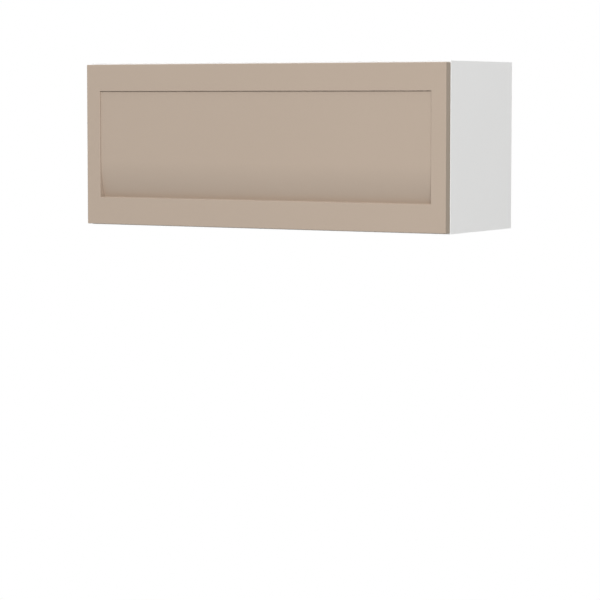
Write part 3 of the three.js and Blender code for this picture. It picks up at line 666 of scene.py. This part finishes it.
for name, side in SIDES.items():
    dress(f"hanger_body_{name}", "moulding", hanger_body(), grey_plastic, "carcass", side)
    for use, z in SCREW_HEIGHTS.items():
        seat = HANGER_Y[0] + WELL_DEPTH
        screw = cross_screw("y", (middle(HANGER_X), z), seat, -1, **HANGER_SCREW)
        piece(f"hanger_{use}_screw_{name}", screw, zinc, "carcass", side)
    dress(f"hanger_hook_{name}", "plate", hanger_hook(), steel, f"hanger_hook_{name}", side)

# --------
# Frame of the front: two stiles and two rails, 20 mm thick, in a smooth beige lacquer. The frame
# is drawn whole, with its edges rounded, and then parted where the real pieces are glued, so that
# the roundings meet in neat corners. The top rail is bored from behind for the hinges.

STILE_X, FRONT_Y, FRONT_Z = box_of("front_stile_right")
FACE, REAR = FRONT_Y
OPENING_X = STILE_X[0]
OPENING_Z = (box_of("front_rail_bottom")[2][1], box_of("front_rail_top")[2][0])
REBATE_WIDTH, REBATE_DEPTH = 10, 3.2
OUTER_ROUND, OPENING_ROUND = 1.4, 0.7
REAR_EASE = 0.4  # depth of the outer rounding on the rear edges
HINGE_X = {name: middle(box_of(f"hinge_cup_{name}")[0]) for name in SIDES}
CUP_Z, CUP_RADIUS, CUP_BORE_DEPTH, CUP_PLAY = 336.5, 17.5, 12.5, 0.3
WING_Z = 327
SCREW_OFFSETS = {"left": -22.5, "right": 22.5}
PILOT_RADIUS, PILOT_DEPTH = 1.8, 10.8
EDGE_SHADE_REACH = 0.0008  # how far the painted shade on the front's edge faces reaches, in metres


def lacquer_look(nodes, place):
    x, z = nodes.along("x", place), nodes.along("z", place)
    # Painted shade: the front's outer edge faces (its sides, top and bottom) are painted a darker
    # beige to stand for the shade that falls on them.
    edge = nodes.near(x.size(), in_metres("x", STILE_X)[1], EDGE_SHADE_REACH)
    for level in in_metres("z", FRONT_Z):
        edge = edge.either(nodes.near(z, level, EDGE_SHADE_REACH))
    cloud = nodes.noise(place, 3.5, detail=3)
    fleck = nodes.noise(place, 160, detail=3)
    peel = nodes.noise(place, 420)
    beige = cloud.mix(linear(176, 160, 145), linear(179, 163, 148))
    beige = (fleck * 0.12).mix(beige, linear(169, 153, 137))
    # The darker beige mixed in here is painted shade on the edge faces.
    beige = edge.mix(beige, linear(161, 147, 132))
    return {"Base Color": beige, "Roughness": 0.42 + 0.06 * cloud + 0.06 * peel,
            "Specular IOR Level": 0.3, "Normal": bump(nodes, peel, 0.00002)}


lacquer = shader("beige lacquer", "beige_front", lacquer_look)


def front_frame():
    outer, opening = (STILE_X[1], FRONT_Z), (OPENING_X, OPENING_Z)
    rebate = (OPENING_X + REBATE_WIDTH, grown(OPENING_Z, REBATE_WIDTH))
    ledge = REAR - REBATE_DEPTH
    section = ((outer, FACE), (outer, REAR), (rebate, REAR), (rebate, ledge), (opening, ledge),
               (opening, FACE))
    whole = bmesh.new()
    loops = [[whole.verts.new((x, y, z)) for x, z in rectangle(about(0, half), height)]
             for (half, height), y in section]
    for one, other in zip(loops, loops[1:] + loops[:1]):
        for i in range(4):
            whole.faces.new((one[i - 1], one[i], other[i], other[i - 1]))
    bmesh.ops.recalc_face_normals(whole, faces=whole.faces)
    soften(whole, OUTER_ROUND, 4, lambda x, y, z: abs(x) > STILE_X[1] - SURE)
    for corner in whole.verts:
        if corner.co.y > REAR - OUTER_ROUND - SURE:
            corner.co.y = REAR - (REAR - corner.co.y) * REAR_EASE / OUTER_ROUND
    return soften(whole, OPENING_ROUND, 3,
                  lambda x, y, z: abs(x) < OPENING_X + SURE and y < FACE + SURE)


def hinge_bores():
    for x in HINGE_X.values():
        depth = (REAR - CUP_BORE_DEPTH, REAR + PAST)
        yield drill("y", CUP_RADIUS + CUP_PLAY, depth, (x, CUP_Z), 48)
        for offset in SCREW_OFFSETS.values():
            depth = (REAR - PILOT_DEPTH, REAR + PAST)
            yield drill("y", PILOT_RADIUS, depth, (x + offset, WING_Z), 16)


half, outer, parting = OPENING_X, STILE_X[1] + PAST, middle(OPENING_Z)
low, high = grown(FRONT_Z, PAST)
rooms = {
    "front_stile_left": ((-outer, -half), (low, high)),
    "front_stile_right": ((half, outer), (low, high)),
    "front_rail_top": ((-half, half), (parting, high)),
    "front_rail_bottom": ((-half, half), (low, parting)),
}
for node, (x, z) in rooms.items():
    bar = worked("INTERSECT", front_frame(), block(x, grown(FRONT_Y, PAST), z))
    if node == "front_rail_top":
        bar = cut(bar, gather(*hinge_bores()))
    dress(node, "bar", bar, lacquer, "front")

# --------
# Centre panel: one board behind the frame's face. Its foot rolls back in a long arc and leaves
# a finger pull above the bottom rail. A thin lip round it is glued into the frame's rebate.

LIP_X, PANEL_FACE_Y, LIP_Z = box_of("front_centre_panel")
LIP_THICKNESS = 3
PANEL_PLAY = 0.3
SCOOP_HEIGHT, SCOOP_RISE, SCOOP_STEPS = 81, 14, 36


def arc(centre, radius, start, end, steps):
    """Points along an arc, with its angles in degrees."""
    turns = [math.radians(start + (end - start) * i / steps) for i in range(steps + 1)]
    return [(centre[0] + radius * math.cos(t), centre[1] + radius * math.sin(t)) for t in turns]


def join(*shapes):
    return worked("UNION", *shapes)


def centre_panel():
    face, back = PANEL_FACE_Y
    low, high = grown(OPENING_Z, -PANEL_PLAY)
    radius = (SCOOP_HEIGHT ** 2 + SCOOP_RISE ** 2) / (2 * SCOOP_RISE)
    sweep = math.degrees(math.asin(SCOOP_HEIGHT / radius))
    scoop = arc((face + radius, low + SCOOP_HEIGHT), radius, 180 + sweep, 180, SCOOP_STEPS)
    half = OPENING_X - PANEL_PLAY
    board = prism("x", [(back, high), (back, low), *scoop, (face, high)], -half, half)
    return join(board, block(LIP_X, (back - LIP_THICKNESS, back), LIP_Z))


dress("front_centre_panel", "board", centre_panel(), lacquer, "front")

# --------
# Bumper pads: small clear domes of soft plastic, stuck to the carcass's lower front corners, so
# that the front closes quietly.

PAD_RIM = 0.3  # share of a pad's thickness below its dome
PAD_STEPS = 8


def clear_look(nodes, place):
    haze = nodes.noise(place, 500, detail=3)
    return {"Base Color": haze.mix(linear(214, 215, 212), linear(226, 227, 224)),
            "Roughness": 0.22 + 0.1 * haze, "Subsurface Weight": 0.3,
            "Normal": bump(nodes, haze, 0.00001)}


clear_plastic = shader("clear soft plastic", "bumper", clear_look)
for name in SIDES:
    x, y, z = box_of(f"bumper_pad_{name}")
    radius, thickness = (x[1] - x[0]) / 2, y[1] - y[0]
    turns = [math.pi / 2 * i / PAD_STEPS for i in range(1, PAD_STEPS)]
    dome = [(radius * math.cos(t), y[1] - thickness * (PAD_RIM + (1 - PAD_RIM) * math.sin(t)))
            for t in turns]
    pad = turned("y", [(0, y[1]), (radius, y[1]), (radius, y[1] - PAD_RIM * thickness), *dome,
                       (0, y[0])], (middle(x), middle(z)), 32)
    dress(f"bumper_pad_{name}", "dome", pad, clear_plastic, "carcass")

# --------
# Hinge cups: nickel-plated steel pots pressed into the top rail, each with a narrow rim, two
# wings and two screws.

CUP_Y = box_of("hinge_cup_left")[1]
CUP_INSIDE = CUP_RADIUS - 1
RIM_RADIUS = 18.3
WING_HALF = (29, 6)
WING_CORNER, WING_ROUND = 3, 0.25
WING_SHY = 0.1  # how far the wings lie below the rim
CUP_SIDES = 56
CUP_SCREW = dict(head=3.5, height=1.4, shank=1.5, length=11)


def rounded(y, z, radius):
    """Outline of a rectangle with round corners."""
    corners = rectangle(grown(y, -radius), grown(z, -radius))
    return [point for i in range(4)
            for point in arc(corners[i - 3], radius, 90 * (i - 1), 90 * i, 6)]


def hinge_cup(x):
    floor, face = CUP_Y
    pot = [(0, floor), (15, floor), (16.8, floor + 0.8), (CUP_RADIUS, floor + 2.6),
           (CUP_RADIUS, REAR), (RIM_RADIUS, REAR), (RIM_RADIUS, face - 0.3),
           (RIM_RADIUS - 0.3, face), (CUP_INSIDE + 0.5, face), (CUP_INSIDE, face - 0.5),
           (CUP_INSIDE, floor + 3.4), (CUP_INSIDE - 0.8, floor + 1.8),
           (CUP_INSIDE - 2.4, floor + 1.2), (0, floor + 1.2)]
    top = face - WING_SHY
    wing = rounded(about(x, WING_HALF[0]), about(WING_Z, WING_HALF[1]), WING_CORNER)
    wing = soften(prism("y", wing, REAR + 0.05, top), WING_ROUND, 2, lambda x, y, z: y > top - SURE)
    mouth = drill("y", CUP_INSIDE + 0.7, (REAR - 4, face + PAST), (x, CUP_Z), CUP_SIDES)
    sink = [(0, REAR - PAST), (1.8, REAR - PAST), (1.8, face - 0.5), (2.4, face + 0.1),
            (0, face + 0.1)]
    sinks = [turned("y", sink, (x + offset, WING_Z), 20) for offset in SCREW_OFFSETS.values()]
    pot = turned("y", pot, (x, CUP_Z), CUP_SIDES)
    return cut(join(pot, cut(wing, mouth)), gather(*sinks))


for name, x in HINGE_X.items():
    dress(f"hinge_cup_{name}", "pressing", hinge_cup(x), steel, "front")
    for place, offset in SCREW_OFFSETS.items():
        screw = cross_screw("y", (x + offset, WING_Z), CUP_Y[1] - WING_SHY, 1, **CUP_SCREW)
        dress(f"hinge_screw_{name}_{place}", "turned", screw, zinc, "front")

# --------
# Hinge arms: folded steel channels under the mounting plates, riveted to the two links at their
# open noses, with a side-adjusting screw and a fixing screw in the web.

ARM_PIVOT = (2, 334)
INNER_PIVOT = (8.34, 327.09)
ARM_HALF, ARM_SHEET, ARM_ROUND = 7.5, 1.5, 0.6
TAIL_HEIGHT = 9
RIVET_RADIUS, RIVET_HEAD, RIVET_SHANK = 1.7, 0.5, 1
WEB_START, WEB_END = Vector((20.34, 324.49)), Vector((62, 330.5))
WEB_SCREWS = {"side": 0.2, "fixing": 0.72}  # share of the way along the web
WEB_SCREW = dict(head=3.4, height=1.5, shank=2, length=8)


def hinge_arm(x):
    (nose, tail), (low, top) = box_of("hinge_arm_left")[1:]
    belly = [(INNER_PIVOT[0] + 3, low), (INNER_PIVOT[0] + 12, low + 2), (tail, top - TAIL_HEIGHT)]
    outline = [(nose, ARM_PIVOT[1] - 3), (INNER_PIVOT[0] - 3, low), *belly, (tail, top),
               (ARM_PIVOT[0], top), (nose, ARM_PIVOT[1] + 2.5)]
    raised = [(y, z + ARM_SHEET) for y, z in belly]
    hollow = [(nose - PAST, low + ARM_SHEET), *raised, (tail + PAST, raised[-1][1]),
              (tail + PAST, top + PAST), (nose - PAST, top + PAST)]
    inside = about(x, ARM_HALF - ARM_SHEET)
    channel = soften(prism("x", outline, *about(x, ARM_HALF)), ARM_ROUND, 3)
    open_nose = block(inside, (nose - PAST, INNER_PIVOT[0] + 5), (low - PAST, top + PAST))
    channel = cut(channel, prism("x", hollow, *inside), open_nose)
    half = [(0, ARM_HALF + RIVET_HEAD), (RIVET_RADIUS - 0.5, ARM_HALF + RIVET_HEAD),
            (RIVET_RADIUS, ARM_HALF), (RIVET_SHANK, ARM_HALF - 0.2)]
    rivet = [(radius, x - along) for radius, along in half]
    rivet += [(radius, x + along) for radius, along in reversed(half)]
    return join(channel, *(turned("x", rivet, pivot, 20) for pivot in (ARM_PIVOT, INNER_PIVOT)))


web = WEB_END - WEB_START
slope = Matrix.Rotation(math.atan2(*web.yx), 3, "X")
for name, x in HINGE_X.items():
    dress(f"hinge_arm_{name}", "channel", hinge_arm(x), steel, "carcass")
    for use, share in WEB_SCREWS.items():
        y, z = WEB_START + share * web
        screw = cross_screw("z", (x, y), z, -1, **WEB_SCREW)
        bmesh.ops.rotate(screw, cent=(x, y, z), matrix=slope, verts=screw.verts)
        piece(f"hinge_{use}_screw_{name}", screw, zinc, "carcass")

# --------
# Mounting plates: steel crosses screwed to the underside of the top panel. The arms clip over
# them and the wings take one screw each.

PLATE_BODY_HALF, PLATE_WING_HALF, PLATE_CORNER = 10, 6, 2
PLATE_SCREW_OFFSET = 19
PLATE_SCREW = dict(head=3.9, height=1.6, shank=1.7, length=13)


def mounting_plate(node):
    x, y, z = box_of(node)
    centre, along, wing = middle(x), middle(y), x[1] - middle(x)
    corner = [(PLATE_BODY_HALF, y[0]), (PLATE_BODY_HALF, along - PLATE_WING_HALF),
              (wing, along - PLATE_WING_HALF)]
    corner += [(u, 2 * along - v) for u, v in reversed(corner)]
    outline = [(centre + u, v) for u, v in corner] + [(centre - u, v) for u, v in reversed(corner)]
    return soften(round_corners(prism("z", outline, *z), "z", PLATE_CORNER), SHEET_ROUND)


for name, x in HINGE_X.items():
    node = f"hinge_plate_{name}"
    dress(node, "pressing", mounting_plate(node), steel, "carcass")
    _, y, z = box_of(node)
    for place, side in SIDES.items():
        centre = (x + side * PLATE_SCREW_OFFSET, middle(y))
        screw = cross_screw("z", centre, z[0], -1, **PLATE_SCREW)
        piece(f"{node}_screw_{place}", screw, zinc, "carcass")

# --------
# Hinge links: two bent steel straps side by side. The outer one turns on the nose pin and ends in
# a barrel across the cup; the thinner inner one turns on the rear pin.

CUP_PIVOT = (-4, 350)
OUTER_LINK = {"x": (-4.8, -0.4), "half": 1.3, "pivot": ARM_PIVOT,
              "row": [CUP_PIVOT, (-9.4, 345.5), (-1, 338), ARM_PIVOT]}
INNER_LINK = {"x": (0.4, 4.8), "half": 0.7, "pivot": INNER_PIVOT,
              "row": [(-8, 350), (-10.1, 347.9), (-10, 324), INNER_PIVOT]}
EYE_RADIUS, LINK_BORE, LINK_ROUND = 2.3, 1.3, 0.25
BARREL_RADIUS = 1.3
PIN_CHAMFER = 0.2


def strap(points, half, steps=8):
    """Outline of a bent strap of even width, with round ends and mitred bends."""
    row = [Vector(point) for point in points]
    along = [(b - a).normalized() for a, b in zip(row, row[1:])]

    def left(i):
        ahead = along[min(i, len(along) - 1)]
        between = (along[max(i - 1, 0)] + ahead).normalized()
        return Vector((-between.y, between.x)) * (half / between.dot(ahead))

    start, end = (math.degrees(math.atan2(*left(i).yx)) for i in (0, len(row) - 1))
    bends = range(1, len(row) - 1)
    return [*arc(row[0], half, start + 180, start, steps), *(row[i] + left(i) for i in bends),
            *arc(row[-1], half, end, end - 180, steps),
            *(row[i] - left(i) for i in reversed(bends))]


def chamfered(radius, low, high):
    """Profile of a short round pin with a small chamfer at each end."""
    inner = radius - PIN_CHAMFER
    return [(0, low), (inner, low), (radius, low + PIN_CHAMFER), (radius, high - PIN_CHAMFER),
            (inner, high), (0, high)]


def hinge_link(at, x, half, pivot, row):
    low, high = at + x[0], at + x[1]
    body = soften(prism("x", strap(row, half), low, high), LINK_ROUND)
    eye = turned("x", chamfered(EYE_RADIUS, low, high), pivot, 28)
    return cut(join(body, eye), drill("x", LINK_BORE, grown((low, high), PAST), pivot, 20))


for name, x in HINGE_X.items():
    end = box_of(f"hinge_outer_link_{name}")[0][0]
    barrel = turned("x", chamfered(BARREL_RADIUS, end, x + OUTER_LINK["x"][1]), CUP_PIVOT, 24)
    outer = join(hinge_link(x, **OUTER_LINK), barrel)
    dress(f"hinge_outer_link_{name}", "strap", outer, steel, "hinge_links")
    dress(f"hinge_inner_link_{name}", "strap", hinge_link(x, **INNER_LINK), steel, "inner_links")

# --------
# Lift housings: moulded grey trays screwed to the side panels, each closed by a cover with
# cooling slots and four corner screws. A socket screw in the front wall sets the spring's force.

HOUSING_X, HOUSING_Y, HOUSING_Z = box_of("lift_housing_right")
COVER_X = box_of("lift_cover_right")[0]
HOUSING_CORNER, HOUSING_WALL, HOUSING_ROUND = 12, 2, 0.6
AXLE = (54.0153, 273.2184)
AXLE_BORE = 6.3
COVER_SCREW_INSET, COVER_WELL_RADIUS, COVER_WELL_DEPTH = 10, 3.6, 0.9
COVER_SCREW = dict(head=3.2, height=0.8, shank=1.3, length=8)
COVER_CORNERS = [(y, z) for y in grown(HOUSING_Y, -COVER_SCREW_INSET)
                 for z in grown(HOUSING_Z, -COVER_SCREW_INSET)]
SLOT_STARTS = [118 + 9 * i for i in range(7)]
SLOT_WIDTH, SLOT_CORNER, SLOT_Z = 3, 1.45, (246, 286)
LABEL_Y, LABEL_Z, LABEL_CORNER, LABEL_DEPTH = (108, 172), (230, 240), 2, 0.4
FORCE_SCREW_Z = 250
FORCE_SCREW = dict(head=4.6, height=3, socket=2.6, shank=3, length=9)


def lift_housing():
    tray = prism("x", rounded(HOUSING_Y, HOUSING_Z, HOUSING_CORNER), *HOUSING_X)
    tray = soften(tray, HOUSING_ROUND, 2, lambda x, y, z: x > HOUSING_X[1] - SURE)
    hollow = rounded(grown(HOUSING_Y, -HOUSING_WALL), grown(HOUSING_Z, -HOUSING_WALL),
                     HOUSING_CORNER - HOUSING_WALL)
    return cut(tray, prism("x", hollow, HOUSING_X[0] - PAST, HOUSING_X[1] - HOUSING_WALL))


def lift_cover():
    face = COVER_X[0]
    plate = prism("x", rounded(HOUSING_Y, HOUSING_Z, HOUSING_CORNER), *COVER_X)
    plate = soften(plate, HOUSING_ROUND, 3, lambda x, y, z: x < face + SURE)
    through = grown(COVER_X, PAST)
    bore = drill("x", AXLE_BORE, through, AXLE)
    wells = [drill("x", COVER_WELL_RADIUS, (face - PAST, face + COVER_WELL_DEPTH), corner, 24)
             for corner in COVER_CORNERS]
    slots = [prism("x", rounded((y, y + SLOT_WIDTH), SLOT_Z, SLOT_CORNER), *through)
             for y in SLOT_STARTS]
    label = prism("x", rounded(LABEL_Y, LABEL_Z, LABEL_CORNER), face - PAST, face + LABEL_DEPTH)
    return cut(plate, gather(bore, *wells, *slots, label))


def hexagon(axis, centre, radius, low, high):
    return prism(axis, arc(centre, radius, 0, 300, 5), low, high)


def socket_head(axis, centre, seat, up, head, height, socket, shank, length):
    """A cylinder-head screw with a hexagonal socket. Up is the way its head points."""
    body = [(0, seat - up * length), (shank, seat - up * length), (shank, seat), (head, seat),
            (head, seat + up * (height - 0.4)), (head - 0.4, seat + up * height),
            (0, seat + up * height)]
    recess = (seat + up * height * 0.25, seat + up * (height + PAST))
    return cut(turned(axis, body, centre, 32), hexagon(axis, centre, socket, *recess))


for name, side in SIDES.items():
    dress(f"lift_housing_{name}", "tray", lift_housing(), grey_plastic, "carcass", side)
    dress(f"lift_cover_{name}", "plate", lift_cover(), grey_plastic, "carcass", side)
    for number, corner in enumerate(COVER_CORNERS, 1):
        screw = cross_screw("x", corner, COVER_X[0] + COVER_WELL_DEPTH, -1, **COVER_SCREW)
        piece(f"lift_cover_screw_{name}_{number}", screw, zinc, "carcass", side)
    force = socket_head("y", (middle(HOUSING_X), FORCE_SCREW_Z), HOUSING_Y[0], -1, **FORCE_SCREW)
    piece(f"lift_force_screw_{name}", force, zinc, "carcass", side)

# --------
# Lever axles and springs: a steel shaft with a socket head and, inside the housing, the cam plate
# that a strong coil spring bears on.

AXLE_X = box_of("lift_axle_right")[0]
AXLE_RADIUS, AXLE_HEAD, HEAD_THICKNESS = 6, 9, 1.2
AXLE_SOCKET, SOCKET_DEPTH = 3.4, 3
CAM_HEEL, CAM_NOSE, CAM_THICKNESS, CAM_POINTS = 11, 16, 6, 48
SPRING_Y = box_of("lift_spring_right")[1]
COIL_RADIUS, WIRE_RADIUS = 4.8, 1.1
COIL_TURNS, POINTS_PER_TURN = 12, 28


def oiled_look(nodes, place):
    scale = nodes.noise(place, 320, detail=4)
    return {"Base Color": scale.mix(linear(92, 92, 96), linear(122, 122, 125)), "Metallic": 1.0,
            "Roughness": 0.3 + 0.16 * scale, "Normal": bump(nodes, scale, 0.00001)}


spring_steel = shader("oiled spring steel", "spring_steel", oiled_look)


def lever_axle():
    head, end = AXLE_X
    seat = head + HEAD_THICKNESS
    shaft = [(0, head), (AXLE_HEAD - 0.5, head), (AXLE_HEAD, head + 0.4), (AXLE_HEAD, seat),
             (AXLE_RADIUS, seat), (AXLE_RADIUS, end), (0, end)]
    turns = [2 * math.pi * i / CAM_POINTS for i in range(CAM_POINTS)]
    reach = [CAM_HEEL + (CAM_NOSE - CAM_HEEL) * (1 + math.cos(t)) / 2 for t in turns]
    cam = [(AXLE[0] + r * math.cos(t), AXLE[1] + r * math.sin(t)) for r, t in zip(reach, turns)]
    width = about(middle(HOUSING_X), CAM_THICKNESS / 2)
    return cut(join(turned("x", shaft, AXLE), soften(prism("x", cam, *width), 0.4)),
               hexagon("x", AXLE, AXLE_SOCKET, head - PAST, head + SOCKET_DEPTH))


def lift_spring():
    start, end = grown(SPRING_Y, -WIRE_RADIUS)
    coil = bpy.data.curves.new("coil", "CURVE")
    coil.dimensions, coil.bevel_depth, coil.bevel_resolution = "3D", WIRE_RADIUS, 4
    coil.use_fill_caps = True
    count = COIL_TURNS * POINTS_PER_TURN + 1
    line = coil.splines.new("POLY")
    line.points.add(count - 1)
    for i, point in enumerate(line.points):
        turn = 2 * math.pi * i / POINTS_PER_TURN
        point.co = (middle(HOUSING_X) + COIL_RADIUS * math.cos(turn),
                    start + (end - start) * i / (count - 1),
                    AXLE[1] + COIL_RADIUS * math.sin(turn), 1)
    holder = put("coil", coil)
    made = settled(holder)
    bpy.data.objects.remove(holder)
    bmesh.ops.remove_doubles(made, verts=made.verts, dist=1e-4)
    return made


for name, side in SIDES.items():
    dress(f"lift_axle_{name}", "turned", lever_axle(), steel, "lift_levers", side)
    dress(f"lift_spring_{name}", "coil", lift_spring(), spring_steel, "carcass", side)

# --------
# Levers and lift links: flat bars of plated steel with a pressed groove for stiffness. The lever
# turns on the axle, and the link joins its elbow to the bracket on the front.

LEVER_X = box_of("lift_lever_right")[0]
LINK_X = box_of("lift_link_right")[0]
ELBOW = (72.0153, 173.2184)
BRACKET_PIN = (14, 250)
LEVER_EYE, LEVER_HALF, LINK_HALF, BAR_ROUND = 13, 9, 8, 0.5
PRESS_HALF, PRESS_DEPTH = 3, 0.9
PIN_BORE = 3.3
FRONT_BORE = 4.1  # with play, because the linkage closes here
PIN_SHANK, PIN_HEAD = 3, 5


def lift_bar(outline, x, bores, clear):
    """A flat bar with two bores and a groove pressed in its inner face, clear of them."""
    start, end = (Vector(centre) for _, centre in bores)
    along = (end - start).normalized()
    line = strap([start + along * clear[0], end - along * clear[1]], PRESS_HALF)
    groove = prism("x", line, x[0] - PAST, x[0] + PRESS_DEPTH)
    tools = [drill("x", radius, grown(x, PAST), centre, 36) for radius, centre in bores]
    return cut(soften(prism("x", outline, *x), BAR_ROUND), gather(*tools, groove))


def lever():
    line = math.degrees(math.atan2(ELBOW[1] - AXLE[1], ELBOW[0] - AXLE[0]))
    waist = math.degrees(math.asin(LEVER_HALF / LEVER_EYE))
    outline = [*arc(AXLE, LEVER_EYE, line + waist, line + 360 - waist, 28),
               *arc(ELBOW, LEVER_HALF, line - 90, line + 90, 16)]
    return lift_bar(outline, LEVER_X, ((AXLE_BORE, AXLE), (PIN_BORE, ELBOW)), (22, 16))


def lift_link():
    outline = strap([ELBOW, BRACKET_PIN], LINK_HALF, 16)
    return lift_bar(outline, LINK_X, ((PIN_BORE, ELBOW), (FRONT_BORE, BRACKET_PIN)), (14, 14))


def headed_pin(x, centre):
    head, end = x
    seat = head + HEAD_THICKNESS
    profile = [(0, head), (PIN_HEAD - 1.6, head), (PIN_HEAD - 0.5, head + 0.3),
               (PIN_HEAD, head + 0.8), (PIN_HEAD, seat), (PIN_SHANK, seat),
               (PIN_SHANK, end - 0.4), (PIN_SHANK - 0.4, end), (0, end)]
    return turned("x", profile, centre, 32)


for name, side in SIDES.items():
    dress(f"lift_lever_{name}", "bar", lever(), steel, "lift_levers", side)
    dress(f"lift_link_{name}", "bar", lift_link(), steel, "lift_links", side)
    for use, body, centre in (("elbow", "lift_levers", ELBOW), ("front", "front", BRACKET_PIN)):
        pin = headed_pin(box_of(f"lift_{use}_pin_right")[0], centre)
        dress(f"lift_{use}_pin_{name}", "turned", pin, zinc, body, side)

# --------
# Front brackets: folded steel feet screwed to the back of the centre panel, each with an ear that
# carries the link's front pin.

BRACKET_X, BRACKET_Y, BRACKET_Z = box_of("lift_bracket_right")
FOOT_THICKNESS, FOOT_CORNER, FOOT_ROUND = 2, 4, 0.3
EAR_THICKNESS, EAR_RADIUS, EAR_ROUND = 3, 8, 0.4
BRACKET_SCREW_INSET = 8
BRACKET_SCREWS = {"lower": -14, "upper": 14}
BRACKET_SCREW = dict(head=3.6, height=1.5, shank=1.7, length=12)


def front_bracket():
    seat = BRACKET_Y[0]
    foot = block(BRACKET_X, (seat, seat + FOOT_THICKNESS), BRACKET_Z)
    foot = round_corners(foot, "y", FOOT_CORNER, where=lambda x, y, z: x < BRACKET_X[0] + SURE)
    ear_x = (BRACKET_X[1] - EAR_THICKNESS, BRACKET_X[1])
    z = BRACKET_PIN[1]
    ear = [(seat, z - 14), (seat + 4, z - 10), *arc(BRACKET_PIN, EAR_RADIUS, -75, 75, 14),
           (seat + 4, z + 10), (seat, z + 14)]
    return cut(join(soften(foot, FOOT_ROUND), soften(prism("x", ear, *ear_x), EAR_ROUND)),
               drill("x", PIN_BORE, grown(ear_x, PAST), BRACKET_PIN, 36))


for name, side in SIDES.items():
    dress(f"lift_bracket_{name}", "pressing", front_bracket(), steel, "front", side)
    for place, rise in BRACKET_SCREWS.items():
        centre = (BRACKET_X[0] + BRACKET_SCREW_INSET, BRACKET_PIN[1] + rise)
        screw = cross_screw("y", centre, BRACKET_Y[0] + FOOT_THICKNESS, 1, **BRACKET_SCREW)
        piece(f"lift_bracket_screw_{name}_{place}", screw, zinc, "front", side)
